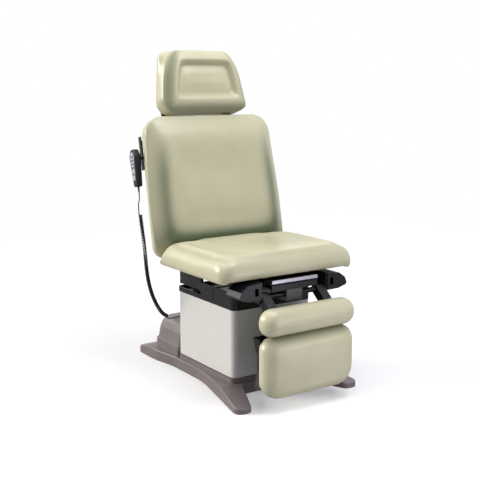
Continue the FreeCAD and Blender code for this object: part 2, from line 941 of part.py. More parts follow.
def build_seat_cushion():
    """Rolled sides, a crest all round and a softly dished middle."""
    half = float(s.seat_half)
    front = float(s.seat_front)
    rear = float(s.seat_rear)
    floor = float(seat_cushion_bottom())
    tall = float(s.seat_thickness)
    crest = float(s.seat_crest)
    dish = float(s.seat_dish)
    rings = [
        (16, 0, 0.00, 34, 16), (4, 4, 0.09, 42, 20), (0, 14, 0.23, 48, 24), (2, 38, 0.52, 52, 30),
        (0.16 * crest, 49, 0.75, 54, 34), (0.50 * crest, 58, 0.93, 56, 40),
        (crest, 76, 1.00, 56, 44), (1.5 * crest, 100, 1.00 - 0.25 * dish / tall, 52, 46),
        (2.5 * crest, 140, 1.00 - dish / tall, 44, 44),
    ]
    wires = [plan_wire(half - side, front - side, rear - back, turn, rear_turn,
                       floor + level * tall) for side, back, level, turn, rear_turn in rings]
    node("seat_cushion", shaped("seat_cushion_form", loft(wires)))


def build_sockets():
    """Housings under the seat's front corners, each with a slot for a leg support's bar."""
    inner = s.rail_inner + s.hinge_plate
    for side, name in ((1, "left"), (-1, "right")):
        outline = [
            (inner, s.socket_top), (s.socket_tip - 39, s.socket_top - 5),
            (s.socket_tip - 11, s.socket_top - 25), (s.socket_tip, s.socket_bottom + 14),
            (s.socket_tip - 44, s.socket_bottom + 1), (inner, s.socket_bottom),
        ]
        if side < 0:
            outline = [(-x, z) for x, z in outline]
        block = prism(f"socket_block_{name}", "XZ_Plane", outline, -s.socket_front,
                      s.socket_front - s.socket_rear)
        smooth = fillet(f"socket_smooth_{name}", block,
                        lambda edge: 7 if runs_along(edge, Vec(0, 1, 0))
                        and abs(edge.Vertexes[0].X) > float(inner) + 1 else None)
        middle = (s.socket_top + s.socket_bottom) / 2
        slot = mirrored_box(f"socket_slot_{name}", side, inner + 12,
                            inner + 12 + s.socket_slot_width,
                            (-s.socket_front - 1, middle - s.socket_slot_height / 2),
                            (-s.socket_front + s.socket_slot_depth,
                             middle + s.socket_slot_height / 2))
        node(f"leg_support_socket_{name}", cut(f"socket_cut_{name}", smooth, slot))


def build_pan():
    """The pull-out pan and the two runners that carry it."""
    low = s.pan_bottom + s.slide_gap
    high = low + s.pan_height
    outer = box("pan_outer", (-s.pan_half, -s.pan_front, low), (s.pan_half, -s.pan_rear, high))
    inner = box("pan_inner",
                (-s.pan_half + s.pan_wall, -s.pan_front + s.pan_wall, low + s.pan_wall),
                (s.pan_half - s.pan_wall, -s.pan_rear - s.pan_wall, high + 1))
    lip_box = box("pan_lip_box", (-s.pan_half, -s.pan_front - s.pan_lip, low + 1),
                  (s.pan_half, -s.pan_front, high))
    lip = fillet("pan_lip", lip_box,
                 lambda edge: 2.5 if runs_along(edge, Vec(1, 0, 0))
                 and edge.Vertexes[0].Y < -float(s.pan_front) - 1 else None)
    node("treatment_pan", fuse("treatment_pan_sum", cut("pan_tray", outer, inner), lip))
    runners = []
    for side, name in ((1, "left"), (-1, "right")):
        ledge = mirrored_box(f"runner_ledge_{name}", side, s.rail_inner - s.runner_width,
                             s.rail_inner, (-s.cross_front, s.pan_bottom - s.runner_thickness),
                             (-s.pan_rear, s.pan_bottom))
        guide = mirrored_box(f"runner_guide_{name}", side, s.pan_half + s.slide_gap,
                             s.pan_half + s.slide_gap + s.runner_thickness,
                             (-s.cross_front, s.pan_bottom),
                             (-s.pan_rear, s.pan_bottom + s.pan_height - 3))
        runners.append(fuse(f"runner_{name}", ledge, guide))
    node("pan_runners", group("pan_runners_set", *runners))
    shelf = box("fascia_shelf", (-s.pan_half, -s.pan_front, s.pan_bottom - 16),
                (s.pan_half, -s.cross_front, s.pan_bottom - 12))
    face = box("fascia_face", (-s.pan_half, -s.pan_front - 4, s.pan_bottom - 25),
               (s.pan_half, -s.pan_front, s.pan_bottom - 3))
    node("front_fascia", fuse("front_fascia_sum", shelf, face))


def build_drives():
    """Gear motors that turn the back's shaft and the leg rest's shaft."""
    top = s.pan_bottom - 4 - s.cross_height
    half = s.knee_drive_half
    case = box("knee_drive_case", (-half, -s.knee_y - 20, top - s.knee_drive_height),
               (half, -s.knee_drive_rear, top))
    bore = cylinder("knee_drive_bore", s.pin_radius + s.running_gap,
                    (-half - 1, -s.knee_y, s.knee_z), 2 * half + 2, "X")
    motor = cylinder("knee_drive_motor", s.knee_motor_radius,
                     (half, -s.knee_drive_rear - s.knee_motor_radius, top - 1 - s.knee_motor_radius),
                     s.drive_motor_length, "X")
    node("knee_drive", fuse("knee_drive_sum", cut("knee_drive_cut", case, bore), motor))

    half = s.recline_drive_half
    case = box("recline_drive_case", (-half, s.beam_rear, s.recline_drive_bottom),
               (half, s.recline_drive_rear, s.rail_top - s.slide_gap))
    bore = cylinder("recline_drive_bore", s.pin_radius + s.running_gap,
                    (-half - 1, s.recline_y, s.recline_z), 2 * half + 2, "X")
    motor = cylinder("recline_drive_motor", s.recline_motor_radius,
                     (half, s.beam_rear + s.recline_motor_radius + 6,
                      s.recline_drive_bottom + s.recline_motor_radius),
                     s.drive_motor_length, "X")
    node("recline_drive", fuse("recline_drive_sum", cut("recline_drive_cut", case, bore), motor))


# Leg rest


def build_leg_frame():
    solids = []
    bores = []
    rear = s.arm_front - s.arm_thickness
    for side, name in ((1, "left"), (-1, "right")):
        start = s.arm_inner if side > 0 else -s.arm_inner - s.arm_width
        solids.append(cylinder(f"leg_boss_{name}", s.arm_boss, (start, -s.knee_y, s.knee_z),
                               s.arm_width, "X"))
        solids.append(prism(f"leg_link_{name}", "YZ_Plane", [
            (-s.knee_y - 12, s.knee_z + 13), (-s.arm_front, s.knee_z - 34),
            (-s.arm_front, s.knee_z - 70), (-rear, s.knee_z - 66),
            (-s.knee_y + 12, s.knee_z - 13),
        ], start, s.arm_width))
        solids.append(box(f"leg_strap_{name}", (start, -s.arm_front, s.arm_bottom),
                          (start + s.arm_width, -rear, s.knee_z - 60)))
        bores.append(cylinder(f"leg_bore_{name}", s.pin_radius + s.running_gap / 2,
                              (start - 1, -s.knee_y, s.knee_z), s.arm_width + 2, "X"))
    reach = s.arm_inner + s.arm_width
    solids.append(box("leg_tie", (-reach, -s.arm_front, s.tie_bottom),
                      (reach, -s.arm_front + s.tie_thickness, s.tie_bottom + s.tie_height)))
    node("leg_frame", cut("leg_frame_cut", fuse("leg_frame_sum", *solids), *bores))
    end = s.rail_inner + s.hinge_plate
    node("knee_shaft", cylinder("knee_shaft_bar", s.pin_radius, (-end, -s.knee_y, s.knee_z),
                                2 * end, "X"))


def leg_board(label, half, bottom, top, corner):
    blank = box(f"{label}_blank", (-half, -s.arm_front - s.leg_board + s.slide_gap, bottom),
                (half, -s.arm_front, top))
    node(label, fillet(f"{label}_round", blank, along_y(corner)))


def leg_cushion(label, half, bottom, top, thickness, lower_round, upper_round, rings):
    """A pad whose rim is drawn in at the rear and rolls over to a crowned face."""
    half, bottom, top, thickness = (float(size) for size in (half, bottom, top, thickness))
    rear = -float(s.arm_front + s.leg_board)
    wires = []
    for inset, level in rings:
        limit = 0.46 * (top - bottom - 2 * inset)
        wires.append(panel_wire(half - inset, half - inset, bottom + inset, top - inset,
                                min(lower_round - inset / 2, limit),
                                min(upper_round - inset / 2, limit), rear - level * thickness))
    node(label, shaped(f"{label}_form", loft(wires)))


def build_leg_cushions():
    leg_board("bolster_board", s.bolster_half - 24, s.bolster_bottom + 10, s.bolster_top - 10, 30)
    leg_board("pad_board", s.shell_half, s.pad_bottom + 16, s.pad_top - 10, 40)
    leg_cushion("bolster_cushion", s.bolster_half, s.bolster_bottom, s.bolster_top,
                s.bolster_thickness, 44, 44,
                [(12, 0.0), (3, 0.10), (0, 0.34), (4, 0.62), (14, 0.83), (26, 0.95), (37, 1.0)])
    leg_cushion("pad_cushion", s.pad_half, s.pad_bottom, s.pad_top, s.pad_thickness, 72, 52,
                [(12, 0.0), (3, 0.12), (0, 0.36), (5, 0.60), (18, 0.80), (40, 0.94), (72, 1.0)])


def build_leg_shell():
    """The hollow shell behind the lower pad, drawn in at its waist and open at its top."""
    rear = s.arm_front - s.shell_depth
    middle = (s.shell_bottom + s.shell_top) / 2

    def outline(half, bottom, top):
        right = [(half, bottom), (half - s.shell_waist, middle - 40),
                 (half - s.shell_waist, middle + 40), (half, top)]
        return right + [(-x, z) for x, z in reversed(right)]

    outer = prism("leg_shell_outer", "XZ_Plane",
                  outline(s.shell_half, s.shell_bottom, s.shell_top), -s.arm_front, s.shell_depth)
    inner = prism("leg_shell_inner", "XZ_Plane",
                  outline(s.shell_half - s.shell_wall, s.shell_bottom + s.shell_wall,
                          s.shell_top + 1), -s.arm_front - 1, s.shell_depth + 1 - s.shell_wall)
    soft = fillet("leg_shell_soft", outer,
                  lambda edge: 10 if edge.Vertexes[0].Y > -float(rear) - 0.01
                  and edge.Vertexes[-1].Y > -float(rear) - 0.01
                  and edge.BoundBox.ZMax < float(s.shell_top) - 1 else None)
    node("leg_shell", cut("leg_shell_cut", soft, inner))


# Back


def build_back_frame():
    rear = s.back_shell - s.back_rear
    far = rear + s.upright_depth
    solids = []
    bores = []
    for side, name in ((1, "left"), (-1, "right")):
        solids.append(mirrored_box(f"back_upright_{name}", side, s.upright_inner,
                                   s.upright_inner + s.upright_width,
                                   (rear, s.upright_bottom), (far, s.upright_top)))
        start = s.ear_inner if side > 0 else -s.ear_inner - s.ear_width
        solids.append(cylinder(f"back_eye_{name}", s.ear_radius, (start, 0, 0), s.ear_width, "X"))
        solids.append(prism(f"back_ear_{name}", "YZ_Plane", [
            (-s.ear_radius + 2, -6), (5, -s.ear_radius + 1), (far, 20),
            (far, s.upright_bottom + s.tie_plate), (rear, s.upright_bottom + s.tie_plate),
            (rear, 22), (-8, s.ear_radius - 2),
        ], start, s.ear_width))
        bores.append(cylinder(f"back_bore_{name}", s.pin_radius + s.running_gap / 2,
                              (start - 1, 0, 0), s.ear_width + 2, "X"))
    reach = s.ear_inner + s.ear_width
    solids.append(box("back_tie_low", (-reach, rear, s.upright_bottom),
                      (reach, rear + s.upright_depth / 2, s.upright_bottom + s.tie_plate)))
    inner = s.upright_inner + s.upright_width
    solids.append(box("back_tie_high", (-inner, rear, s.upright_top - s.tie_plate),
                      (inner, rear + s.upright_depth / 2, s.upright_top)))
    frame = cut("back_frame_cut", fuse("back_frame_sum", *solids), *bores)
    node("back_frame", lean_back(frame))
    end = s.rail_inner + s.rail_width
    node("recline_shaft", cylinder("recline_shaft_bar", s.pin_radius,
                                   (-end, s.recline_y, s.recline_z), 2 * end, "X"))


def build_back_shell():
    half = float(s.back_shell_half)
    taper = float(s.back_taper)
    low = float(s.back_bottom) + 3
    high = float(s.back_shell_top)
    front = -float(s.back_rear)
    deep = float(s.back_shell)
    wires = [panel_wire(half - inset, half - taper - inset, low + inset, high - inset,
                        float(s.back_shell_lower_round), float(s.back_shell_upper_round),
                        front + level * deep)
             for inset, level in ((0, 0.0), (0, 0.4), (3, 0.8), (9, 1.0))]
    node("back_shell", lean_back(shaped("back_shell_form", loft(wires, ruled=True))))
    rear = s.back_shell - s.back_rear
    lowest = s.back_bottom + s.back_screw_low
    highest = s.back_shell_top - s.back_screw_high
    screws = []
    for row in range(3):
        for side in (-1, 1):
            height = lowest + row * (highest - lowest) / 2
            screws.append(cylinder(f"shell_screw_{row}_{side + 1}", s.screw_radius,
                                   (side * (s.back_shell_half - s.back_screw_inset), rear, height),
                                   s.screw_height, "Y"))
    node("shell_screws", lean_back(group("shell_screws_set", *screws)))


def back_half():
    """Half the width of the back's upholstery, which overhangs its shell."""
    return s.back_shell_half + s.back_overhang


def build_back_cushion():
    """Rolled edges, raised sides and a shallow hollow down the middle of the front."""
    half = float(back_half())
    taper = float(s.back_taper)
    low = float(s.back_bottom)
    high = float(s.back_top)
    rear = -float(s.back_rear) - float(s.slide_gap)
    deep = float(s.back_face) + rear
    dish = float(s.back_dish)
    rings = [
        (15, 0, 15, 0.00, 0.00), (4, 0, 4, 0.12, 0.10), (0, 3, 0, 0.36, 0.30),
        (0, 12, 3, 0.60, 0.55), (14, 28, 15, 0.82, 0.80), (42, 52, 38, 0.96, 0.955),
        (74, 80, 66, 1.00, 1.00),
        (112, 116, 102, 1.0 - 0.3 * dish / deep, 1.0 - 0.3 * dish / deep),
        (170, 176, 160, 1.0 - dish / deep, 1.0 - dish / deep),
    ]
    wires = [panel_wire(half - side, half - taper - side, low + foot, high - head,
                        46, 80 - side / 5, rear - level * deep, rear - upper * deep)
             for side, foot, head, level, upper in rings]
    node("back_cushion", lean_back(shaped("back_cushion_form", loft(wires))))


# Headrest


def bar_front():
    return s.head_rear + s.head_board + s.slide_gap


def build_headrest():
    sleeves = []
    bars = []
    rear = s.back_shell - s.back_rear
    half = s.bar_width / 2
    gap = s.slide_gap
    wall = s.sleeve_wall
    front = bar_front()
    for side, name in ((1, "left"), (-1, "right")):
        middle = side * s.bar_middle
        case = box(f"sleeve_case_{name}",
                   (middle - half - wall, rear, s.sleeve_bottom),
                   (middle + half + wall, front + s.bar_thickness + gap + wall,
                    s.sleeve_bottom + s.sleeve_height))
        hole = box(f"sleeve_hole_{name}",
                   (middle - half - gap, front - gap, s.sleeve_bottom - 1),
                   (middle + half + gap, front + s.bar_thickness + gap,
                    s.sleeve_bottom + s.sleeve_height + 1))
        sleeves.append(cut(f"sleeve_{name}", case, hole))
        bars.append(box(f"bar_{name}", (middle - half, front, s.bar_bottom),
                        (middle + half, front + s.bar_thickness, s.bar_top)))
    node("headrest_sleeves", lean_back(group("headrest_sleeves_set", *sleeves)))
    node("headrest_bars", lean_back(group("headrest_bars_set", *bars)))
    build_headrest_pad()


def head_wire(inset, depth, lower_round, upper_round):
    slope = float(s.head_lower_half - s.head_upper_half) / float(s.head_top - s.head_bottom)
    lower = float(s.head_lower_half) - inset * (1 + slope)
    upper = float(s.head_upper_half) - inset * (1 - slope)
    return panel_wire(lower, upper, float(s.head_bottom) + inset, float(s.head_top) - inset,
                      lower_round, upper_round, depth)


def build_headrest_pad():
    """A thick rolled border round a sunken panel, on a stiff board."""
    rear = float(s.head_rear)
    deep = rear + float(s.head_face)
    sunk = float(s.head_recess) / deep
    rings = [
        (9, 0.00, 48, 36), (2, 0.06, 53, 40), (0, 0.22, 56, 44), (2, 0.50, 56, 44),
        (11, 0.76, 50, 40), (25, 0.94, 44, 36), (39, 1.00, 38, 32), (53, 0.985 - sunk / 3, 32, 28),
        (63, 1.00 - 0.85 * sunk, 26, 24), (80, 1.00 - sunk, 20, 18),
    ]
    wires = [head_wire(inset, rear - level * deep, lower_round, upper_round)
             for inset, level, lower_round, upper_round in rings]
    node("headrest_cushion", lean_back(shaped("headrest_cushion_form", loft(wires))))
    front = rear + float(s.slide_gap)
    thick = float(s.head_board)
    wires = [head_wire(18 + inset, front + level * thick, 40, 30)
             for inset, level in ((0, 0.0), (0, 0.6), (4, 1.0))]
    node("headrest_board", lean_back(shaped("headrest_board_form", loft(wires, ruled=True))))


# Handset


def build_handset():
    """A hand control that hangs on a hook at the back's right-hand edge."""
    length = s.handset_length
    top = s.handset_middle + length / 2
    bottom = s.handset_middle - length / 2
    wide = s.handset_width / 2
    narrow = s.handset_tail_width / 2
    middle = s.handset_y
    outline = [
        (middle - wide, top - 24), (middle - wide + 16, top), (middle + wide - 16, top),
        (middle + wide, top - 24), (middle + wide - 3, s.handset_middle + 8),
        (middle + narrow, bottom), (middle - narrow, bottom),
        (middle - wide + 3, s.handset_middle + 8),
    ]
    block = prism("handset_block", "YZ_Plane", outline, -handset_side(), s.handset_thickness)
    corners = fillet("handset_corners", block, along_x(9))
    soft = fillet("handset_soft", corners,
                  lambda edge: 5 if edge.BoundBox.XLength < 0.01 else None)
    node("handset_body", lean_back(soft))
    face = -handset_side()
    panel = [
        (middle - wide + 11, top - 26), (middle - wide + 20, top - 12),
        (middle + wide - 20, top - 12), (middle + wide - 11, top - 26),
        (middle + wide - 13, s.handset_middle + 4), (middle + narrow - 6, bottom + 26),
        (middle - narrow + 6, bottom + 26), (middle - wide + 13, s.handset_middle + 4),
    ]
    keypad = prism("handset_keypad_panel", "YZ_Plane", panel, face - s.keypad_thickness,
                   s.keypad_thickness)
    node("handset_keypad", lean_back(fillet("handset_keypad_round", keypad, along_x(5))))
    cone = doc.addObject("Part::Cone", "strain_relief_cone")
    bind(cone, "Radius1", s.wire_radius + 0.7)
    bind(cone, "Radius2", s.relief_radius)
    bind(cone, "Height", s.relief_length)
    for letter, value in zip("xyz", (-handset_side() + s.handset_thickness / 2, middle,
                                     bottom - s.relief_length)):
        bind(cone, f"Placement.Base.{letter}", value)
    node("handset_strain_relief", lean_back(copy_of("strain_relief_copy", cone)))

    far = s.back_shell_half + s.hook_reach
    rear = s.back_shell - s.back_rear
    strip = box("hook_strip", (-far, rear, s.hook_bottom),
                (-far + s.hook_thickness, rear + s.hook_width, s.hook_top))
    foot = box("hook_foot", (-far, rear, s.hook_bottom + s.hook_foot_inset),
               (-s.back_shell_half + s.hook_foot, rear + s.hook_thickness,
                s.hook_top - s.hook_foot_inset))
    reach = handset_side() - s.handset_thickness - s.slide_gap
    peg = cylinder("hook_peg", s.hook_peg, (-reach, rear + s.hook_width / 2, s.handset_middle + 40),
                   reach - far, "X")
    node("handset_hook", lean_back(fuse("handset_hook_sum", strip, foot, peg)))


# Handset cord: its lead, its curls and its tail follow one route, chosen by hand.


def handset_side():
    """How far out the handset's face stands."""
    return back_half() + s.handset_reach


def back_point(x, forward, up):
    """A point measured on the upright back, carried to where the back leans."""
    lean = math.radians(float(s.back_lean_angle))
    y = float(s.recline_y) + forward * math.cos(lean) + up * math.sin(lean)
    z = float(s.recline_z) - forward * math.sin(lean) + up * math.cos(lean)
    return Vec(x, y, z)


CURL_ROUTE = [
    (-331, 242, 656), (-331, 231, 606), (-327, 224, 545), (-320, 226, 480), (-309, 238, 420),
    (-295, 251, 370), (-275, 263, 316), (-251, 271, 269), (-226, 279, 232), (-203, 287, 211),
    (-186, 290, 202),
]


def carried_route(upper, lower):
    """The route's points, carried along with its two ends."""
    first = Vec(*CURL_ROUTE[0])
    last = Vec(*CURL_ROUTE[-1])
    carried = []
    for place in CURL_ROUTE:
        share = (first.z - place[2]) / (first.z - last.z)
        carried.append(Vec(*place) + (upper - first) * (1 - share) + (lower - last) * share)
    return carried


def spline_through(poles):
    """A smooth curve with the given points as its control points."""
    spans = len(poles) - 2
    knots = list(range(spans + 1))
    repeats = [3] + [1] * (spans - 1) + [3]
    curve = Part.BSplineCurve()
    curve.buildFromPolesMultsKnots(poles, repeats, knots, False, 2)
    return curve


def biarc(start, start_way, end, end_way):
    """Two arcs that leave one point and reach the next with the given directions."""
    chord = end - start
    both = start_way + end_way
    spread = 2 * (1 - start_way.dot(end_way))
    across = chord.dot(both)
    reach = (math.sqrt(across ** 2 + spread * chord.dot(chord)) - across) / spread
    first = start + start_way * reach
    second = end - end_way * reach
    joint = (first + second) * 0.5
    return [arc_by_corner(start, first, joint), arc_by_corner(joint, second, end)]


def arc_by_corner(start, corner, end):
    """The arc between two points whose end tangents meet at a corner."""
    middle = (start + end) * 0.5
    cosine = (start - middle).Length / (start - corner).Length
    top = middle + (corner - middle) * (cosine / (1 + cosine))
    return Part.Arc(start, top, end).toShape()


def curl_points(upper, lower):
    """Points and directions of the curls, four to a turn, round the route's smooth curve."""
    curve = spline_through(carried_route(upper, lower))
    turns = round(float(s.curl_count))
    radius = float(s.curl_radius)
    steps = 4 * turns
    places = curve.discretize(Number=steps + 1)
    ways = [Vec(*curve.tangent(curve.parameter(place))[0]).normalize() for place in places]
    side = ways[0].cross(Vec(0, 1, 0)).normalize()
    found = []
    for index, (place, way) in enumerate(zip(places, ways)):
        side = (side - way * side.dot(way)).normalize()
        over = way.cross(side)
        angle = index * math.pi / 2
        out = side * math.cos(angle) + over * math.sin(angle)
        found.append((place + out * radius, out, way))
    pitch = curve.length() / turns
    slope = math.atan2(pitch, 2 * math.pi * radius)
    points = []
    for place, out, way in found:
        around = way.cross(out)
        points.append((place, around * math.cos(slope) + way * math.sin(slope), way))
    return points


def tube(edges):
    """A round wire's solid along a path, its volume set against its section times its length."""
    path = Part.Wire(edges)
    radius = float(s.wire_radius)
    start = path.Edges[0]
    first = start.valueAt(start.FirstParameter)
    way = start.tangentAt(start.FirstParameter)
    ring = Part.Wire([Part.Circle(first, way, radius).toShape()])
    shell = Part.BRepOffsetAPI.MakePipeShell(path)
    shell.add(ring)
    shell.build()
    shell.makeSolid()
    solid = shell.shape()
    expected = math.pi * radius ** 2 * path.Length
    print(f"tube: length {path.Length:.0f} mm, volume {solid.Volume / expected:.4f} of expected")
    return solid


def least_gap(points, radius, skip):
    """The least distance between a wire's surfaces, leaving out points close along it."""
    least = None
    for index, (place, way, axis) in enumerate(points):
        for other in points[index + skip:index + 3 * skip]:
            gap = (place - other[0]).Length - 2 * radius
            least = gap if least is None else min(least, gap)
    return least


def rounded_route(points):
    """Straight runs joined by tangent arcs as large as the runs allow, radii printed."""
    edges = []
    at = points[0]
    for index in range(1, len(points) - 1):
        here = points[index]
        back = points[index - 1] - here
        ahead = points[index + 1] - here
        reach = 0.45 * min(back.Length, ahead.Length)
        turn = math.pi - back.getAngle(ahead)
        start = here + Vec(back).normalize() * reach
        end = here + Vec(ahead).normalize() * reach
        print(f"cord bend: radius {reach / math.tan(turn / 2):.1f} mm")
        edges.append(Part.LineSegment(at, start).toShape())
        edges.append(arc_by_corner(start, here, end))
        at = end
    edges.append(Part.LineSegment(at, points[-1]).toShape())
    return edges


def build_cord():
    wire = float(s.wire_radius)
    exit_way = Vec(1, 0, 0)
    gland_face = Vec(-float(s.gland_x), float(s.gland_y), float(cord_height()))
    relief = back_point(-float(handset_side()) + float(s.handset_thickness) / 2, float(s.handset_y),
                        float(s.handset_middle - s.handset_length / 2 - s.relief_length))
    hang = Vec(-float(s.lead_out), -float(s.lead_forward), -float(s.lead_drop))
    lay = Vec(-float(s.tail_run), 0, float(s.tail_rise))
    points = curl_points(relief + hang, gland_face + lay)
    first, first_way, first_axis = points[2]
    last, last_way, last_axis = points[-3]
    lead_in = first - first_axis * 8 - first_way * 5
    lead_out = last + last_axis * 8 + last_way * 5
    edges = [Part.LineSegment(lead_in - first_axis * 2 * wire, lead_in).toShape()]
    stops = [(lead_in, first_axis)] + [(place, way) for place, way, axis in points[2:-2]]
    stops.append((lead_out, last_axis))
    for (start, start_way), (end, end_way) in zip(stops, stops[1:]):
        edges += biarc(start, start_way, end, end_way)
    edges.append(Part.LineSegment(lead_out, lead_out + last_axis * 2 * wire).toShape())
    node("cord_curls", shaped("cord_curls_form", tube(edges)))
    print(f"curls: least gap {least_gap(points, wire, 3):.2f} mm")

    down = back_point(0, 0, 0) - back_point(0, 0, 1)
    top = lead_in - first_axis * 2 * wire
    lead = [relief, relief + down * 24, top - first_axis * 26, top]
    node("cord_lead", shaped("cord_lead_form", tube(rounded_route(lead))))

    bottom = lead_out + last_axis * 2 * wire
    corner = bottom + last_axis * 14
    landing = gland_face - exit_way * 20
    middle = (corner + landing) * 0.5 + Vec(0, 0, 1)
    tail = [bottom, corner, middle, landing, gland_face]
    node("cord_tail", shaped("cord_tail_form", tube(rounded_route(tail))))
    radius = gland_radius()
    gland = cylinder("cord_gland_barrel", radius, (-s.gland_x, s.gland_y, cord_height()),
                     s.gland_length, "X")
    foot = box("cord_gland_foot",
               (-s.gland_x, s.gland_y - radius, s.base_height + s.housing_height),
               (-s.gland_x + s.gland_length, s.gland_y + radius, cord_height()))
    node("cord_gland", fuse("cord_gland_sum", gland, foot))


def gland_radius():
    return s.wire_radius + 2.4


def cord_height():
    """Height of the cord's middle where it lies on the rear housing."""
    return s.base_height + s.housing_height + gland_radius() + s.slide_gap


def check_and_write():
    doc.recompute()
    for obj in doc.Objects:
        if "Invalid" in obj.State or "Error" in obj.State:
            raise RuntimeError(f"{obj.Label} failed: {obj.State}")
    os.makedirs("parts", exist_ok=True)
    for obj in nodes:
        shape = obj.Shape
        if shape.isNull() or not shape.isValid() or not shape.Solids:
            raise RuntimeError(f"{obj.Label} has no valid solid")
        shape.exportStep(f"parts/{obj.Label}.step")
    print(f"{len(nodes)} sub-parts written")


build_base()
build_shrouds()
build_lift()
build_housing()
build_carriage()
build_ram()
build_seat_frame()
build_seat_cushion()
build_sockets()
build_pan()
build_drives()
build_leg_frame()
build_leg_cushions()
build_leg_shell()
build_back_frame()
build_back_shell()
build_back_cushion()
build_headrest()
build_handset()
build_cord()
check_and_write()
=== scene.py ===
"""Powered procedure chair: upholstery, finishes, handset cord, camera and light."""
import json
import math

import bpy
import numpy as np
from mathutils import Matrix, Vector


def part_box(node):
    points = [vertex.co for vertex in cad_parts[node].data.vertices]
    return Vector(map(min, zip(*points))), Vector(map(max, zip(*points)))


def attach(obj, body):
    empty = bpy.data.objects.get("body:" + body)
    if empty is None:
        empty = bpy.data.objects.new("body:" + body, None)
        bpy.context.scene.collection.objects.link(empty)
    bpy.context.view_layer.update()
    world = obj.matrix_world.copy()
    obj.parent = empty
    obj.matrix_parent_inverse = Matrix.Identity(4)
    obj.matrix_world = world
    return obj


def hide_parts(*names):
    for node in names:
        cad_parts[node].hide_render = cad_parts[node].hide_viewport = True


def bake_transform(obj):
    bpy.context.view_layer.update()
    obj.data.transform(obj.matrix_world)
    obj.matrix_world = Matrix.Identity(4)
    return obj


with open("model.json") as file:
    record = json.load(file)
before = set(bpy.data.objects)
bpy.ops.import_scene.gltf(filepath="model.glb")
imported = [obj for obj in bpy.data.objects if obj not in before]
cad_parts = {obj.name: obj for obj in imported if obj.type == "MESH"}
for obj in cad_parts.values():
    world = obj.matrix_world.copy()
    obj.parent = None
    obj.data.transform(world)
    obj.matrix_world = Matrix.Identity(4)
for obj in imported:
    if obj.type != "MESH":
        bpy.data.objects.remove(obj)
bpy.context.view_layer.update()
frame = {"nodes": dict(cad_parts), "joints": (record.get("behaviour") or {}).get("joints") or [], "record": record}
nodes = frame["nodes"]
joints = {joint["name"]: joint for joint in frame["joints"]}
MM = 0.001

# The back leans about the recline hinge, and the headrest slides up along it. Places on the back are
# given across, behind and up it.
HINGE = Vector(joints["recline"]["pos_m"])
SLIDE = Vector(joints["headrest_slide"]["axis"])
LEAN = math.atan2(SLIDE.y, SLIDE.z)


def on_back(across, behind, up):
    """A point on the leaning back, from millimetres measured along it."""
    turn = Matrix.Rotation(-LEAN, 3, "X")
    return HINGE + turn @ (Vector((across, behind, up)) * MM)


# Camera, fitted to the photograph's frame of 480 by 480.

CAMERA_AZIMUTH = math.radians(-34.03)
CAMERA_PITCH = math.radians(10.12)
CAMERA_DISTANCE = 3.53793
CAMERA_TARGET = Vector((0.00438, 0.02755, 0.54801))
CAMERA_LENS = 65.958


def make_camera():
    level = math.cos(CAMERA_PITCH)
    away = Vector((math.sin(CAMERA_AZIMUTH) * level, -math.cos(CAMERA_AZIMUTH) * level,
                   math.sin(CAMERA_PITCH)))
    bpy.ops.object.camera_add(location=CAMERA_TARGET + away * CAMERA_DISTANCE)
    camera = bpy.context.object
    camera.name = "camera"
    camera.rotation_euler = away.to_track_quat("Z", "Y").to_euler()
    camera.data.sensor_width = 36
    camera.data.lens = CAMERA_LENS
    bpy.context.scene.camera = camera


# Materials

# The cushions' vertex attribute of painted shade: how far each place's colour is darkened towards green, where
# shade falls on shoulders and in creases.
SHADE_ATTRIBUTE = "drawn_in"


def srgb(code):
    """A hex colour as linear red, green, blue and alpha."""
    parts = [int(code[i:i + 2], 16) / 255 for i in (0, 2, 4)]
    return [p / 12.92 if p <= 0.04045 else ((p + 0.055) / 1.055) ** 2.4 for p in parts] + [1]


def add(tree, kind, sockets=None, **settings):
    """Add a node with its settings; a socket takes a value, or a pair of node and output name."""
    node = tree.nodes.new(kind)
    for name, value in settings.items():
        setattr(node, name, value)
    for name, value in (sockets or {}).items():
        if isinstance(value, tuple) and isinstance(value[0], bpy.types.Node):
            tree.links.new(value[0].outputs[value[1]], node.inputs[name])
        else:
            node.inputs[name].default_value = value
    return node


def start_material(name):
    """A new material with its shader, and a place to read patterns from."""
    material = bpy.data.materials.new(name)
    material.use_nodes = True
    tree = material.node_tree
    shader = tree.nodes["Principled BSDF"]
    place = add(tree, "ShaderNodeTexCoord")
    return material, tree, shader, (place, "Object")


def per_metre(millimetres):
    """A texture scale whose features are about this size."""
    return 1 / (millimetres * MM)


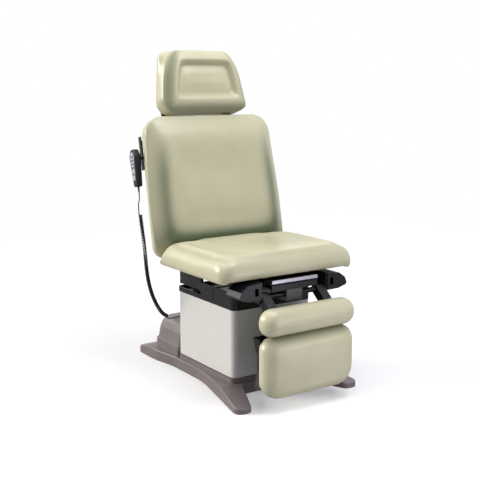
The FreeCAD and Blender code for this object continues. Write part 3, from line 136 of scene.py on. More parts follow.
def coated_vinyl():
    """PVC-coated upholstery cloth: a calendered skin with a soft pebble grain and a satin sheen."""
    material, tree, shader, place = start_material("coated_vinyl")
    shader.inputs["IOR"].default_value = 1.52
    shader.inputs["Specular IOR Level"].default_value = 0.5
    cloud = add(tree, "ShaderNodeTexNoise", {"Vector": place, "Scale": per_metre(150), "Detail": 3.0})
    tone = add(tree, "ShaderNodeValToRGB", {"Fac": (cloud, "Fac")})
    tone.color_ramp.elements[0].position = 0.35
    tone.color_ramp.elements[0].color = srgb("CDC9AB")
    tone.color_ramp.elements[1].position = 0.68
    tone.color_ramp.elements[1].color = srgb("D5D1B3")
    # Painted shade: shoulders and creases are mixed towards a dark green, darker and greener than soft light makes
    # them, so the colour carries a part of their shade.
    shade_mask = add(tree, "ShaderNodeAttribute", attribute_name=SHADE_ATTRIBUTE)
    skin = add(tree, "ShaderNodeMixRGB", {"Fac": (shade_mask, "Fac"), "Color1": (tone, "Color"),
                                          "Color2": srgb("5F6D52")})
    tree.links.new(skin.outputs["Color"], shader.inputs["Base Color"])
    # The real grain is about 1 mm and would not show, so it is drawn at 3 mm.
    grain = add(tree, "ShaderNodeTexVoronoi", {"Vector": place, "Scale": per_metre(3.0)},
                feature="SMOOTH_F1")
    rough = add(tree, "ShaderNodeMapRange", {"Value": (grain, "Distance"), "To Min": 0.27, "To Max": 0.38})
    tree.links.new(rough.outputs["Result"], shader.inputs["Roughness"])
    dents = add(tree, "ShaderNodeBump", {"Height": (grain, "Distance"), "Strength": 0.10,
                                         "Distance": 0.6 * MM})
    tree.links.new(dents.outputs["Normal"], shader.inputs["Normal"])
    return material


def speckled(name, colour, worn, roughness, grit, bumps, gloss=0.5):
    """A plain finish with the fine texture of its mould or coat, and a slow change of tone.

    The grit is the texture's size in millimetres, and bumps is how strongly it shows.
    """
    material, tree, shader, place = start_material(name)
    shader.inputs["IOR"].default_value = 1.52
    shader.inputs["Specular IOR Level"].default_value = gloss
    cloud = add(tree, "ShaderNodeTexNoise", {"Vector": place, "Scale": per_metre(90), "Detail": 4.0})
    tone = add(tree, "ShaderNodeValToRGB", {"Fac": (cloud, "Fac")})
    tone.color_ramp.elements[0].position = 0.32
    tone.color_ramp.elements[0].color = srgb(worn)
    tone.color_ramp.elements[1].position = 0.62
    tone.color_ramp.elements[1].color = srgb(colour)
    tree.links.new(tone.outputs["Color"], shader.inputs["Base Color"])
    texture = add(tree, "ShaderNodeTexNoise", {"Vector": place, "Scale": per_metre(grit), "Detail": 2.0})
    spread = 0.06
    rough = add(tree, "ShaderNodeMapRange", {"Value": (texture, "Fac"), "To Min": roughness - spread,
                                             "To Max": roughness + spread})
    tree.links.new(rough.outputs["Result"], shader.inputs["Roughness"])
    dents = add(tree, "ShaderNodeBump", {"Height": (texture, "Fac"), "Strength": bumps,
                                         "Distance": 0.5 * MM})
    tree.links.new(dents.outputs["Normal"], shader.inputs["Normal"])
    return material


def brushed_stainless():
    """Rolled stainless sheet, brushed along X: long fine scratches that stretch the highlights."""
    material, tree, shader, place = start_material("brushed_stainless")
    shader.inputs["Metallic"].default_value = 1.0
    stretch = (per_metre(125), per_metre(2), per_metre(2))
    grain = add(tree, "ShaderNodeMapping", {"Vector": place, "Scale": stretch})
    lines = add(tree, "ShaderNodeTexNoise", {"Vector": (grain, "Vector"), "Scale": 1.0, "Detail": 3.0})
    tone = add(tree, "ShaderNodeValToRGB", {"Fac": (lines, "Fac")})
    tone.color_ramp.elements[0].color = srgb("8A8793")
    tone.color_ramp.elements[1].color = srgb("B4B1BC")
    tree.links.new(tone.outputs["Color"], shader.inputs["Base Color"])
    rough = add(tree, "ShaderNodeMapRange", {"Value": (lines, "Fac"), "To Min": 0.24, "To Max": 0.42})
    tree.links.new(rough.outputs["Result"], shader.inputs["Roughness"])
    dents = add(tree, "ShaderNodeBump", {"Height": (lines, "Fac"), "Strength": 0.06, "Distance": 0.3 * MM})
    tree.links.new(dents.outputs["Normal"], shader.inputs["Normal"])
    return material


def birch_plywood():
    """Raw birch ply: pale, with long grain along X and fine darker lines, like those of its plies."""
    material, tree, shader, place = start_material("birch_plywood")
    shader.inputs["Roughness"].default_value = 0.7
    stretch = (per_metre(100), per_metre(6), per_metre(1.6))
    grain = add(tree, "ShaderNodeMapping", {"Vector": place, "Scale": stretch})
    lines = add(tree, "ShaderNodeTexNoise", {"Vector": (grain, "Vector"), "Scale": 1.0, "Detail": 5.0})
    tone = add(tree, "ShaderNodeValToRGB", {"Fac": (lines, "Fac")})
    tone.color_ramp.elements[0].color = srgb("8C6A45")
    tone.color_ramp.elements[1].color = srgb("C9A878")
    tree.links.new(tone.outputs["Color"], shader.inputs["Base Color"])
    return material


def make_materials():
    return {
        "vinyl": coated_vinyl(),
        # Vacuum-formed ABS sheet: smooth, satin and a little uneven in tone.
        "white_cover": speckled("white_abs", "E1E1DE", "DEDEDB", roughness=0.38, grit=2.5, bumps=0.04),
        # Structural foam and cast iron under one taupe enamel with a light orange peel.
        "base_paint": speckled("taupe_enamel", "7E7475", "766C6E", roughness=0.42, grit=4.0, bumps=0.10),
        # Spark-textured black ABS: dull, with a slight blue cast.
        "black_plastic": speckled("black_abs", "100F17", "0C0B12", roughness=0.34, grit=2.0, bumps=0.16,
                                  gloss=0.28),
        # Powder-coated steel: a fine orange peel, and a greyer black than the plastic's.
        "black_steel": speckled("black_powder_coat", "121117", "0E0D12", roughness=0.36, grit=3.0,
                                bumps=0.14, gloss=0.28),
        "steel": brushed_stainless(),
        # Inner stages of the column: duller sheet, rubbed by the glides.
        "shroud_grey": speckled("grey_abs", "B7B7BA", "AEAEB2", roughness=0.50, grit=2.5, bumps=0.08),
        "plywood": birch_plywood(),
        # Motor housings: sprayed enamel over sand-cast aluminium, so the grain shows through.
        "motor": speckled("grey_motor_paint", "4C4D52", "434449", roughness=0.45, grit=3.0, bumps=0.12),
        # Acetal bearing strips: milky and slick, with a faint grain.
        "glide": speckled("white_acetal", "E4E4DF", "DADAD4", roughness=0.35, grit=3.0, bumps=0.04),
        # Soft PVC cord jacket: nearly black, with a dull rubbery sheen.
        "cord": speckled("pvc_cord", "131219", "0F0E14", roughness=0.42, grit=2.0, bumps=0.10, gloss=0.30),
        # Back-printed polycarbonate film: pale lavender under a fine velvet texture.
        "keypad": speckled("polycarbonate_film", "CBC9DA", "C4C2D2", roughness=0.34, grit=2.0, bumps=0.05),
        # The film's embossed keys: the same film over darker ink.
        "key_print": speckled("printed_key", "6B6A80", "62617A", roughness=0.40, grit=2.0, bumps=0.05),
    }


# Finishes other than the record's: the pads' boards are wrapped in vinyl, the seat's board has a black
# dust cover, and the knee's shaft is blackened.
OTHER_FINISHES = {
    "headrest_board": "vinyl", "bolster_board": "vinyl", "pad_board": "vinyl",
    "seat_board": "black_plastic", "knee_shaft": "black_steel",
}


def coat(piece, material):
    """Give a piece this finish alone."""
    piece.data.materials.clear()
    piece.data.materials.append(material)


def dress_cad_nodes(materials):
    """Give each CAD node the finish of its slot, or its other finish."""
    for entry in frame["record"]["subparts"]:
        finish = OTHER_FINISHES.get(entry["node"], entry["material_slot"])
        coat(nodes[entry["node"]], materials[finish])


# Shaping helpers


def only(obj):
    """Select one object alone and make it active."""
    for other in bpy.context.selected_objects:
        other.select_set(False)
    obj.select_set(True)
    bpy.context.view_layer.objects.active = obj


def finish_with(obj, kind, **settings):
    """Add a modifier and apply it."""
    only(obj)
    modifier = obj.modifiers.new(kind.lower(), kind)
    for name, value in settings.items():
        setattr(modifier, name, value)
    bpy.ops.object.modifier_apply(modifier=modifier.name)


def vertex_places(obj):
    flat = np.empty(len(obj.data.vertices) * 3)
    obj.data.vertices.foreach_get("co", flat)
    return flat.reshape(-1, 3)


def set_vertex_places(obj, places):
    obj.data.vertices.foreach_set("co", places.ravel())
    obj.data.update()


def take(piece, body, slot, material, *replaced):
    """Hand a finished piece to its body, with its finish and the nodes that it stands for."""
    coat(piece, material)
    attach(piece, body)
    if replaced:
        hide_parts(*replaced)


# Upholstery

# The skin's mesh width, how far it starts inside the CAD solid, and how far the foam may push it out.
VOXEL = 6.5 * MM
START_INSIDE = 2.0 * MM
SWELL_CAP = 5.0 * MM
PRESSURE = 3.0
SWELL_FRAMES = 20
# The part of a cushion that its board holds, in millimetres.
HELD_DEPTH = 8

# The axes of a cushion's places, as it lies.
ACROSS, BEHIND, UP = 0, 1, 2
# Where each cushion's shape is measured from: the floor's origin, or the leaning back's hinge.
STANDING = (np.zeros(3), np.identity(3))
LEANING = (np.array(HINGE), np.array(Matrix.Rotation(LEAN, 3, "X")))


def to_local(places, stance):
    """Places in millimetres across, behind and up, as the cushion lies."""
    origin, turn = stance
    return (places - origin) @ turn.T / MM


def to_world(local, stance):
    origin, turn = stance
    return local * MM @ turn + origin


def bump(distance, middle, width):
    """1 at the middle, fading to both sides."""
    return np.exp(-((distance - middle) / width) ** 2)


def rise(value, start, end):
    """0 before the start, 1 after the end and smooth between them."""
    share = np.clip((value - start) / (end - start), 0, 1)
    return share * share * (3 - 2 * share)


def soft_least(distances, blend):
    """The least of several distances, with the change from one to the next rounded off."""
    # Far places are held within limits, so that the exponentials stay in range.
    nearest, farthest = -50, 900
    shares = [np.exp(-np.clip(distance, nearest, farthest) / blend) for distance in distances]
    return -blend * np.log(sum(shares))


def shoulder(rim, width):
    """A round shoulder: 0 at the rim, 1 and level from this width inwards."""
    return 1 - (1 - np.clip(rim / width, 0, 1)) ** 2


# Cushion forms. Each moves a cushion's places, in millimetres as it lies, to its finished shape, and gives how
# much painted shade each place gets, from 0 to 1.


def back_form(spots):
    """Broad shoulders all round, a hollow inside them and a little fullness low down."""
    across, behind, up = spots.T
    low, high = 26, 590
    half_low, half_high = 310, 296
    half = half_low + (half_high - half_low) * (up - low) / (high - low)
    tucked_edge = low + 10
    top_slope = 0.6
    side = soft_least([half - abs(across), up - tucked_edge], blend=24)
    rim = soft_least([side, top_slope * (high - up)], blend=24)

    edge, crest, hollow, fullness, tuck = 58, 36, 6, 4, 10
    level = edge + crest * shoulder(rim, width=72) - hollow * rise(rim, start=72, end=150)
    level += fullness * bump(up, middle=230, width=90) * rise(rim, start=90, end=170)
    level -= tuck * bump(up, middle=28, width=22)
    front = rise(-behind, start=36, end=60)
    spots[:, BEHIND] -= front * (level + behind)
    bulge = 8
    fuller = rise(-behind, start=20, end=50) * bump(up, middle=250, width=190)
    spots[:, ACROSS] += np.sign(across) * bulge * fuller

    # Painted shade: darker bands inside the side shoulders, and low down where the back meets the seat.
    band_shade, foot_shade, band_end = 0.7, 0.4, 560
    bands = bump(side, middle=54, width=28) * rise(band_end - up, start=0, end=220)
    return front * (band_shade * bands + foot_shade * bump(up, middle=90, width=60))


def headrest_form(spots):
    """Broad shoulders, a steep step inside them and a panel that swells a little."""
    across, behind, up = spots.T
    low, high = 600, 863
    half_low, half_high = 210, 169
    half = half_low + (half_high - half_low) * (up - low) / (high - low)
    foot_edge = low - 10
    foot_slope = 0.75
    side = soft_least([half - abs(across), foot_slope * (up - foot_edge)], blend=8)
    rim = soft_least([side, high - up], blend=8)

    edge, crest, step, panel = 44, 42, 20, 6
    level = edge + crest * shoulder(rim, width=46) - step * rise(rim, start=46, end=70)
    level += panel * rise(rim, start=70, end=104)
    front = rise(-behind, start=24, end=44)
    corner_start, corner_in = 745, 46
    corner = np.clip((up - corner_start) / (high - corner_start), 0, 1) ** 2
    spots[:, ACROSS] -= corner_in * corner * rise(-behind, start=4, end=44) * across / half
    spots[:, BEHIND] -= front * (level + behind)

    # Painted shade: darker bands on the outer shoulders and in the step round the panel.
    band_shade, step_shade = 0.7, 0.25
    bands, steps = bump(side, middle=14, width=20), bump(rim, middle=66, width=8)
    return front * (band_shade * bands + step_shade * steps)


def seat_form(spots):
    """A crest along the sides and front, a shallow hollow, and sides that hang past the board."""
    across, along, up = spots.T
    half, front, crease = 305, -328, 112
    rim = soft_least([half - abs(across), along - front, crease - along], blend=24)

    top, crest, hollow, hang, clearing = 550, 8, 11, 9, 8
    level = top + crest * bump(rim, middle=52, width=28) - hollow * rise(rim, start=62, end=180)
    share = rise(up, start=515, end=540) * rise(rim, start=20, end=48)
    spots[:, UP] += share * (level - up)
    skirt_top = 510
    skirt = rise(abs(across), start=268, end=288) * rise(skirt_top - up, start=0, end=30)
    spots[:, UP] -= hang * skirt
    # The rear edge is drawn in a little, to clear the back.
    spots[:, BEHIND] -= clearing * rise(along, start=crease, end=140)

    # Painted shade: darker towards the rear, under the back, and in a band near each side edge.
    rear_shade, side_shade = 0.5, 0.25
    sides = bump(rim, middle=24, width=10) * rise(abs(across), start=240, end=280)
    return rear_shade * rise(along, start=90, end=190) + side_shade * sides


def pad_form(spots):
    """A gently crowned face, with painted shade along its top edge, under the bolster."""
    across, along, up = spots.T
    low, high = spots.min(axis=0), spots.max(axis=0)
    face, top = low[BEHIND], high[UP]
    rim = soft_least([high[ACROSS] - abs(across), top - up, up - low[UP]], blend=20)
    crown, skin, edge_shade = 6, 30, 0.5
    level = face + crown * (1 - rise(rim, start=20, end=110))
    share = rise(face + skin - along, start=0, end=24) * rise(rim, start=14, end=50)
    spots[:, BEHIND] += share * (level - along)
    # Painted shade along the top edge.
    return edge_shade * bump(top - up, middle=0, width=16)


def roll_form(spots):
    """The round bolster keeps its swollen shape, and gets painted shade along its lower edge."""
    edge_shade = 0.5
    above = spots[:, UP] - spots[:, UP].min()
    # Painted shade along the lower edge.
    return edge_shade * bump(above, middle=0, width=12)


def foam_blank(name, node):
    """A closed, even skin a little inside a cushion's CAD solid."""
    blank = bpy.data.objects.new(name, nodes[node].data.copy())
    bpy.context.collection.objects.link(blank)
    only(blank)
    bpy.ops.object.mode_set(mode="EDIT")
    bpy.ops.mesh.select_all(action="SELECT")
    bpy.ops.mesh.remove_doubles(threshold=0.05 * MM)
    bpy.ops.mesh.normals_make_consistent(inside=False)
    bpy.ops.object.mode_set(mode="OBJECT")
    finish_with(blank, "REMESH", mode="VOXEL", voxel_size=VOXEL, use_smooth_shade=True)
    finish_with(blank, "SMOOTH", factor=0.5, iterations=6)
    finish_with(blank, "SHRINKWRAP", target=nodes[node], offset=-START_INSIDE)
    finish_with(blank, "SMOOTH", factor=0.5, iterations=2)
    return blank


def swell(blank, held):
    """Blow the cover up like foam under vinyl, held on its board and within a cap."""
    before = vertex_places(blank)
    only(blank)
    board = blank.vertex_groups.new(name="board")
    board.add([int(i) for i in np.flatnonzero(held)], 1.0, "REPLACE")
    cloth = blank.modifiers.new("cloth", "CLOTH")
    settings = cloth.settings
    settings.quality = 6
    settings.mass = 0.35
    settings.tension_stiffness = 25
    settings.compression_stiffness = 25
    settings.shear_stiffness = 12
    settings.bending_stiffness = 25
    settings.use_pressure = True
    settings.uniform_pressure_force = PRESSURE
    settings.effector_weights.gravity = 0
    settings.vertex_group_mass = board.name
    cloth.point_cache.frame_start = 1
    cloth.point_cache.frame_end = SWELL_FRAMES
    scene = bpy.context.scene
    for step in range(1, SWELL_FRAMES + 1):
        scene.frame_set(step)
    bpy.ops.object.modifier_apply(modifier=cloth.name)
    scene.frame_set(1)
    move = vertex_places(blank) - before
    far = np.linalg.norm(move, axis=1, keepdims=True)
    move *= np.minimum(1, SWELL_CAP / np.maximum(far, 1e-9))
    set_vertex_places(blank, before + move)
    blank.vertex_groups.clear()


def cushion(name, node, body, materials, stance, form, board_axis, board_side):
    """An upholstered cushion that fills the space of its CAD solid, flat on its board."""
    piece = foam_blank(name, node)
    solid = to_local(vertex_places(nodes[node]), stance)
    board = solid[:, board_axis].max() if board_side > 0 else solid[:, board_axis].min()
    depth = to_local(vertex_places(piece), stance)[:, board_axis]
    swell(piece, abs(depth - board) < HELD_DEPTH)
    finish_with(piece, "SUBSURF", levels=1, render_levels=1)
    finish_with(piece, "SMOOTH", factor=0.5, iterations=6)
    spots = to_local(vertex_places(piece), stance)
    shade_amount = form(spots)
    if board_axis == BEHIND:
        spots[:, BEHIND] = np.minimum(spots[:, BEHIND], board)
    set_vertex_places(piece, to_world(spots, stance))
    # Painted shade, stored per place for the vinyl's colour to darken towards green.
    tint = piece.data.attributes.new(SHADE_ATTRIBUTE, "FLOAT", "POINT")
    tint.data.foreach_set("value", np.clip(shade_amount, 0, 1))
    only(piece)
    bpy.ops.object.shade_smooth()
    take(piece, body, "vinyl", materials["vinyl"], node)


# Piece, CAD node, body, lie, form, and the axis and side where the board is.
CUSHIONS = [
    ("seat_upholstery", "seat_cushion", "seat", STANDING, seat_form, UP, -1),
    ("back_upholstery", "back_cushion", "back", LEANING, back_form, BEHIND, 1),
    ("headrest_upholstery", "headrest_cushion", "headrest", LEANING, headrest_form, BEHIND, 1),
    ("bolster_upholstery", "bolster_cushion", "leg_rest", STANDING, roll_form, BEHIND, 1),
    ("pad_upholstery", "pad_cushion", "leg_rest", STANDING, pad_form, BEHIND, 1),
]


def upholster(materials):
    for name, node, body, stance, form, board_axis, board_side in CUSHIONS:
        cushion(name, node, body, materials, stance, form, board_axis, board_side)


# Handset cord

# The wire's radius, the curls' radius and number, and the points that draw one curl.
WIRE = 2.3 * MM
CURL = 6.2 * MM
CURLS = 78
STEPS = 12
# Down the middle of the curls, in millimetres, as in the part's source.
CURL_ROUTE = [
    (-331, 242, 656), (-331, 231, 606), (-327, 224, 545), (-320, 226, 480), (-309, 238, 420),
    (-295, 251, 370), (-275, 263, 316), (-251, 271, 269), (-226, 279, 232), (-203, 287, 211),
    (-186, 290, 202),
]
# Where the cord leaves the handset, and where it enters the rear housing.
RELIEF = on_back(-325, 5, 297)
GLAND = Vector((-96, 290, 195)) * MM
# How far down the curls, in hundredths, the point for the back's turn lies and the upper two spans end. That point
# lies beside and below the hinge.
TURN_FROM, HIGH_END, MIDDLE_END = 34, 52, 76


def nurbs_line(name, points):
    """A smooth curve with these points as its control points."""
    data = bpy.data.curves.new(name, "CURVE")
    data.dimensions = "3D"
    data.resolution_u = 24
    spline = data.splines.new("NURBS")
    spline.points.add(len(points) - 1)
    for held, place in zip(spline.points, points):
        held.co = (*place, 1)
    spline.order_u = 3
    spline.use_endpoint_u = True
    line = bpy.data.objects.new(name, data)
    bpy.context.collection.objects.link(line)
    return line


def read_line(line):
    """The places along a smooth curve, as Blender draws it."""
    mesh = bpy.data.meshes.new_from_object(line)
    places = [Vector(v.co) for v in mesh.vertices]
    bpy.data.meshes.remove(mesh)
    return places


def even_stations(places, count):
    """Places at even steps along a line, and the line's direction at each."""
    points = np.array(places)
    run = np.concatenate([[0], np.cumsum(np.linalg.norm(np.diff(points, axis=0), axis=1))])
    even = np.linspace(0, run[-1], count)
    spots = np.column_stack([np.interp(even, run, points[:, k]) for k in range(3)])
    ways = np.gradient(spots, axis=0)
    ways /= np.linalg.norm(ways, axis=1, keepdims=True)
    return [Vector(p) for p in spots], [Vector(w) for w in ways]


def curl_helix():
    """The curls round the route, and the axis directions at both ends."""
    route = nurbs_line("curl_route", [Vector(p) * MM for p in CURL_ROUTE])
    spots, ways = even_stations(read_line(route), CURLS * STEPS + 1)
    bpy.data.objects.remove(route)
    side = ways[0].cross(Vector((0, 1, 0))).normalized()
    helix = []
    for step, (spot, way) in enumerate(zip(spots, ways)):
        side = (side - way * side.dot(way)).normalized()
        angle = step * 2 * math.pi / STEPS
        helix.append(spot + (side * math.cos(angle) + way.cross(side) * math.sin(angle)) * CURL)
    half = STEPS // 2
    return helix[half:-half], ways[half], ways[-half - 1]


def wire_mesh(name, line, material):
    """A round wire along a smooth curve, as a mesh with closed ends."""
    line.data.bevel_depth = WIRE
    line.data.bevel_resolution = 2
    line.data.use_fill_caps = True
    line.data.resolution_u = 3
    mesh = bpy.data.meshes.new_from_object(line)
    wire = bpy.data.objects.new(name, mesh)
    bpy.context.collection.objects.link(wire)
    bpy.data.objects.remove(line)
    only(wire)
    bpy.ops.object.shade_smooth()
    coat(wire, material)
    return wire


def cord_span(name, points, material):
    """One stretch of the cord, as a wire along the line that it follows."""
    line = nurbs_line(name + "_line", points)
    followed = read_line(line)
    wire = wire_mesh(name, line, material)
    return wire


def make_lead(top, top_way, material):
    """The straight lead from the handset down to the curls."""
    down = (on_back(0, 0, -1) - on_back(0, 0, 0)).normalized()
    drop, run_in = 24 * MM, 26 * MM
    points = [RELIEF, RELIEF + down * drop, top - top_way * run_in, top]
    piece = cord_span("handset_lead", points, material)
    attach(piece, "back")
    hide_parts("cord_lead")


def make_curls(whole, material):
    """The curls, in three spans, each listed with the bodies beside it."""
    turning, first, second = (len(whole) * share // 100 for share in (TURN_FROM, HIGH_END, MIDDLE_END))
    spans = [
        ("curls_high", whole[:first + 1], "seat", "back", whole[turning]),
        ("curls_middle", whole[first:second + 1], "carriage", "seat", whole[first]),
        ("curls_low", whole[second:], "base", "carriage", whole[second]),
    ]
    for name, points, lower_body, upper_body, end in spans:
        piece = cord_span(name, points, material)
        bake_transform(piece)
        if name == "curls_low":
            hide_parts("cord_curls")


def make_tail(low, low_way, material):
    """The tail along the top of the rear housing, into its gland."""
    bend, run_out, lift = 14 * MM, Vector((20, 0, 0)) * MM, Vector((0, 0, 1)) * MM
    corner = low + low_way * bend
    landing = GLAND - run_out
    middle = (corner + landing) / 2 + lift
    points = [low, corner, middle, landing, GLAND]
    piece = cord_span("handset_tail", points, material)
    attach(piece, "base")
    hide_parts("cord_tail")


def make_cord(materials):
    """The lead under the handset, the curls and the tail, which meet end to end."""
    helix, top_way, low_way = curl_helix()
    around_top = (helix[1] - helix[0]).normalized()
    around_low = (helix[-1] - helix[-2]).normalized()
    run_on, turn_on = 8 * MM, 5 * MM
    lead_in = helix[0] - top_way * run_on - around_top * turn_on
    lead_out = helix[-1] + low_way * run_on + around_low * turn_on
    top = lead_in - top_way * 2 * WIRE
    low = lead_out + low_way * 2 * WIRE
    material = materials["cord"]
    make_lead(top, top_way, material)
    make_curls([top, lead_in] + helix + [lead_out, low], material)
    make_tail(low, low_way, material)


# Small parts


def pick_faces(piece, wanted):
    """Go into edit mode with only the faces selected that pass a test."""
    only(piece)
    bpy.ops.object.mode_set(mode="EDIT")
    bpy.ops.mesh.select_mode(type="FACE")
    bpy.ops.mesh.select_all(action="DESELECT")
    bpy.ops.object.mode_set(mode="OBJECT")
    for face in piece.data.polygons:
        face.select = wanted(face)
    bpy.ops.object.mode_set(mode="EDIT")


def looks_up(face):
    return face.normal.z > 0.9


def round_off(piece, width):
    """Round the sharp edges and shade the piece smoothly."""
    finish_with(piece, "BEVEL", width=width, segments=3, limit_method="ANGLE")
    bpy.ops.object.shade_smooth_by_angle(angle=math.radians(35))


def turned_cap(radius, height, dish):
    """A round cover that stands on Z = 0, with a rounded rim and a dished face."""
    bpy.ops.mesh.primitive_cylinder_add(vertices=40, radius=radius, depth=height)
    cap = bpy.context.object
    pick_faces(cap, looks_up)
    rim = 0.35 * radius
    bpy.ops.mesh.inset(thickness=rim, depth=-dish)
    bpy.ops.mesh.select_all(action="SELECT")
    bpy.ops.transform.translate(value=(0, 0, height / 2))
    bpy.ops.object.mode_set(mode="OBJECT")
    soft_edge = 0.22 * height
    round_off(cap, soft_edge)
    return cap


def soft_key(width, length, height):
    """A key that stands on Z = 0: a raised pillow with a smaller, higher top."""
    bpy.ops.mesh.primitive_cube_add(size=1)
    key = bpy.context.object
    pick_faces(key, lambda face: True)
    bpy.ops.transform.resize(value=(width, length, height))
    bpy.ops.transform.translate(value=(0, 0, height / 2))
    bpy.ops.object.mode_set(mode="OBJECT")
    pick_faces(key, looks_up)
    rim, crown, soft_edge = 0.2 * width, 0.4 * height, 0.3 * height
    bpy.ops.mesh.inset(thickness=rim, depth=crown)
    bpy.ops.object.mode_set(mode="OBJECT")
    round_off(key, soft_edge)
    return key


def lay_out(name, master, spots):
    """Copies of one small part, joined; each spot is its place, the way it faces and the way up."""
    copies = []
    for place, facing, upward in spots:
        copy = master.copy()
        copy.data = master.data.copy()
        bpy.context.collection.objects.link(copy)
        turn = Matrix((upward.cross(facing), upward, facing)).transposed()
        copy.matrix_world = Matrix.Translation(place) @ turn.to_4x4()
        copies.append(copy)
    bpy.data.objects.remove(master)
    only(copies[0])
    for copy in copies:
        copy.select_set(True)
    bpy.ops.object.transform_apply(location=True, rotation=True, scale=True)
    if len(copies) > 1:
        bpy.ops.object.join()
    piece = bpy.context.object
    piece.name = name
    return piece


def shaft_caps(name, node, radius, body, materials):
    """A cover on each end of a hinge's shaft."""
    low, high = (Vector(corner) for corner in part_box(node))
    middle = (low + high) / 2
    upward = Vector((0, 0, 1))
    spots = []
    for end, way in ((low.x, -1), (high.x, 1)):
        spots.append((Vector((end, middle.y, middle.z)), Vector((way, 0, 0)), upward))
    cap = turned_cap(radius * MM, height=5 * MM, dish=1 * MM)
    piece = lay_out(name, cap, spots)
    take(piece, body, "black_plastic", materials["black_plastic"])


def panel_screws(name, node, way, inset, body, materials):
    """A screw near each corner of a panel, on the side that faces the given way along Y."""
    low, high = (Vector(corner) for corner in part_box(node))
    face = high.y if way > 0 else low.y
    spots = []
    for x in (low.x + inset[0] * MM, high.x - inset[0] * MM):
        for z in (low.z + inset[1] * MM, high.z - inset[1] * MM):
            spots.append((Vector((x, face, z)), Vector((0, way, 0)), Vector((0, 0, 1))))
    screw = turned_cap(radius=4 * MM, height=2.2 * MM, dish=1.4 * MM)
    piece = lay_out(name, screw, spots)
    take(piece, body, "steel", materials["steel"])


def handset_keys(materials):
    """Two columns of keys and a long one below them, on the handset's film."""
    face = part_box("handset_keypad")[0][0]
    facing = Vector((-1, 0, 0))
    upward = (on_back(0, 0, 1) - on_back(0, 0, 0)).normalized()

    def spot(behind, up):
        place = on_back(0, behind, up)
        return Vector((face, place.y, place.z)), facing, upward

    middle, aside = 5, 7.5
    top_row, row_gap, rows, stop_row = 440, 15, 4, 370
    pairs = [spot(middle + side * aside, top_row - row_gap * row)
             for row in range(rows) for side in (-1, 1)]
    key = soft_key(width=10 * MM, length=9 * MM, height=0.8 * MM)
    piece = lay_out("handset_keys", key, pairs)
    take(piece, "back", "keypad", materials["key_print"])
    key = soft_key(width=14 * MM, length=10 * MM, height=0.8 * MM)
    piece = lay_out("handset_stop_key", key, [spot(middle, stop_row)])
    take(piece, "back", "keypad", materials["key_print"])


def add_small_parts(materials):
    """Hinge covers, panel screws and keys; the radius and insets are in millimetres."""
    cover_radius = 14
    panel_inset, shell_inset = (9, 9), (70, 45)
    rearward = 1
    shaft_caps("recline_caps", "recline_shaft", cover_radius, "back", materials)
    shaft_caps("tilt_caps", "tilt_pins", cover_radius, "carriage", materials)
    panel_screws("rear_panel_screws", "rear_panel", rearward, panel_inset, "base", materials)
    panel_screws("leg_shell_screws", "leg_shell", rearward, shell_inset, "leg_rest", materials)
    handset_keys(materials)


# Light and floor

FLOOR_SIZE = 7
# What is added to the floor's light where the camera sees it.
FLOOR_GLOW = 0.22
# The room's own light on the chair; the camera, gloss and glass see a white backdrop.
ROOM_LIGHT = 0.12
BACKDROP_WHITE = 1.0


def make_floor():
    bpy.ops.mesh.primitive_plane_add(size=FLOOR_SIZE, location=(0, 0, 0))
    floor = bpy.context.object
    floor.name = "floor"
    material, tree, shader = start_material("pale_floor")[:3]
    shader.inputs["Roughness"].default_value = 0.9
    shader.inputs["Specular IOR Level"].default_value = 0.1
    # The camera sees a white floor, and the chair is lit from below as by a pale grey one.
    rays = add(tree, "ShaderNodeLightPath")
    pale = add(tree, "ShaderNodeValToRGB", {"Fac": (rays, "Is Camera Ray")})
    pale.color_ramp.elements[0].color = srgb("B9B9BC")
    pale.color_ramp.elements[1].color = srgb("F6F6FA")
    tree.links.new(pale.outputs["Color"], shader.inputs["Base Color"])
    glow = add(tree, "ShaderNodeMapRange", {"Value": (rays, "Is Camera Ray"), "To Max": FLOOR_GLOW})
    tree.links.new(glow.outputs["Result"], shader.inputs["Emission Strength"])
    shader.inputs["Emission Color"].default_value = (1, 1, 1, 1)
    floor.data.materials.append(material)


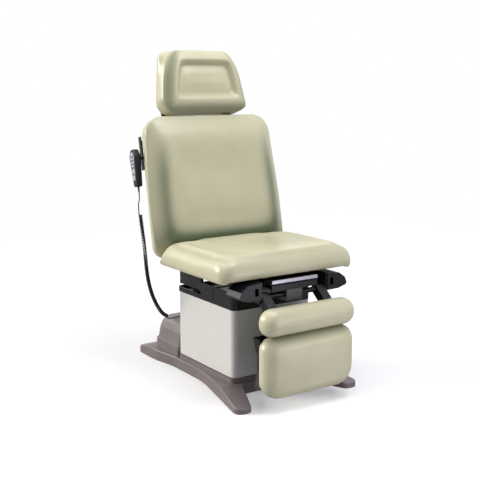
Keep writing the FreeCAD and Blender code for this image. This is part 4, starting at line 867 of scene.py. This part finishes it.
# Soft lamps: name, place, strength, width and colour. The suns' widths are degrees, the boxes' metres.
SUNS = [
    ("left_window", (-2.4, 1.9, 1.7), 2.8, 25, "FFFCF4"),
    ("right_fill", (1.8, -2.3, 2.1), 0.15, 40, "FAFAFF"),
    ("ceiling", (0.0, 0.0, 3.0), 1.3, 60, "FFFFFF"),
]
BOXES = [
    ("top_box", (0.2, -0.6, 2.3), 15.0, 0.9, "FFFFFF"),
    ("low_box", (0.35, -1.4, 0.3), 4.0, 0.6, "F8F6FF"),
]
# The suns shine on the chair's middle, and each box looks at the lift's axis this far below itself.
CHAIR_MIDDLE = Vector((0, 0, 0.6))
BOX_DROP = 0.6


def set_lamp(kind, name, place, power, colour, aim):
    """Add a lamp that shines from its place towards its aim, and give its settings."""
    bpy.ops.object.light_add(type=kind, location=place)
    lamp = bpy.context.object
    lamp.name = name
    lamp.rotation_euler = (Vector(place) - aim).to_track_quat("Z", "Y").to_euler()
    lamp.visible_camera = False
    lamp.data.energy = power
    lamp.data.color = srgb(colour)[:3]
    return lamp.data


def make_light():
    scene = bpy.context.scene
    scene.view_settings.view_transform = "Standard"
    for name, place, strength, width, colour in SUNS:
        set_lamp("SUN", name, place, strength, colour, CHAIR_MIDDLE).angle = math.radians(width)
    for name, place, watts, width, colour in BOXES:
        aim = Vector((0, 0, place[2] - BOX_DROP))
        set_lamp("AREA", name, place, watts, colour, aim).size = width
    world = bpy.data.worlds.new("studio")
    scene.world = world
    world.use_nodes = True
    tree = world.node_tree
    backdrop = tree.nodes["Background"]
    rays = add(tree, "ShaderNodeLightPath")
    seen = add(tree, "ShaderNodeMath", {0: (rays, "Is Camera Ray"), 1: (rays, "Is Glossy Ray")},
               operation="MAXIMUM")
    seen = add(tree, "ShaderNodeMath", {0: (seen, 0), 1: (rays, "Is Transmission Ray")},
               operation="MAXIMUM")
    level = add(tree, "ShaderNodeMapRange", {"Value": (seen, 0), "To Min": ROOM_LIGHT,
                                             "To Max": BACKDROP_WHITE})
    tree.links.new(level.outputs["Result"], backdrop.inputs["Strength"])
    backdrop.inputs["Color"].default_value = (1, 1, 1, 1)


bpy.ops.object.select_all(action="DESELECT")
make_camera()
finishes = make_materials()
dress_cad_nodes(finishes)
make_cord(finishes)
upholster(finishes)
add_small_parts(finishes)
make_floor()
make_light()
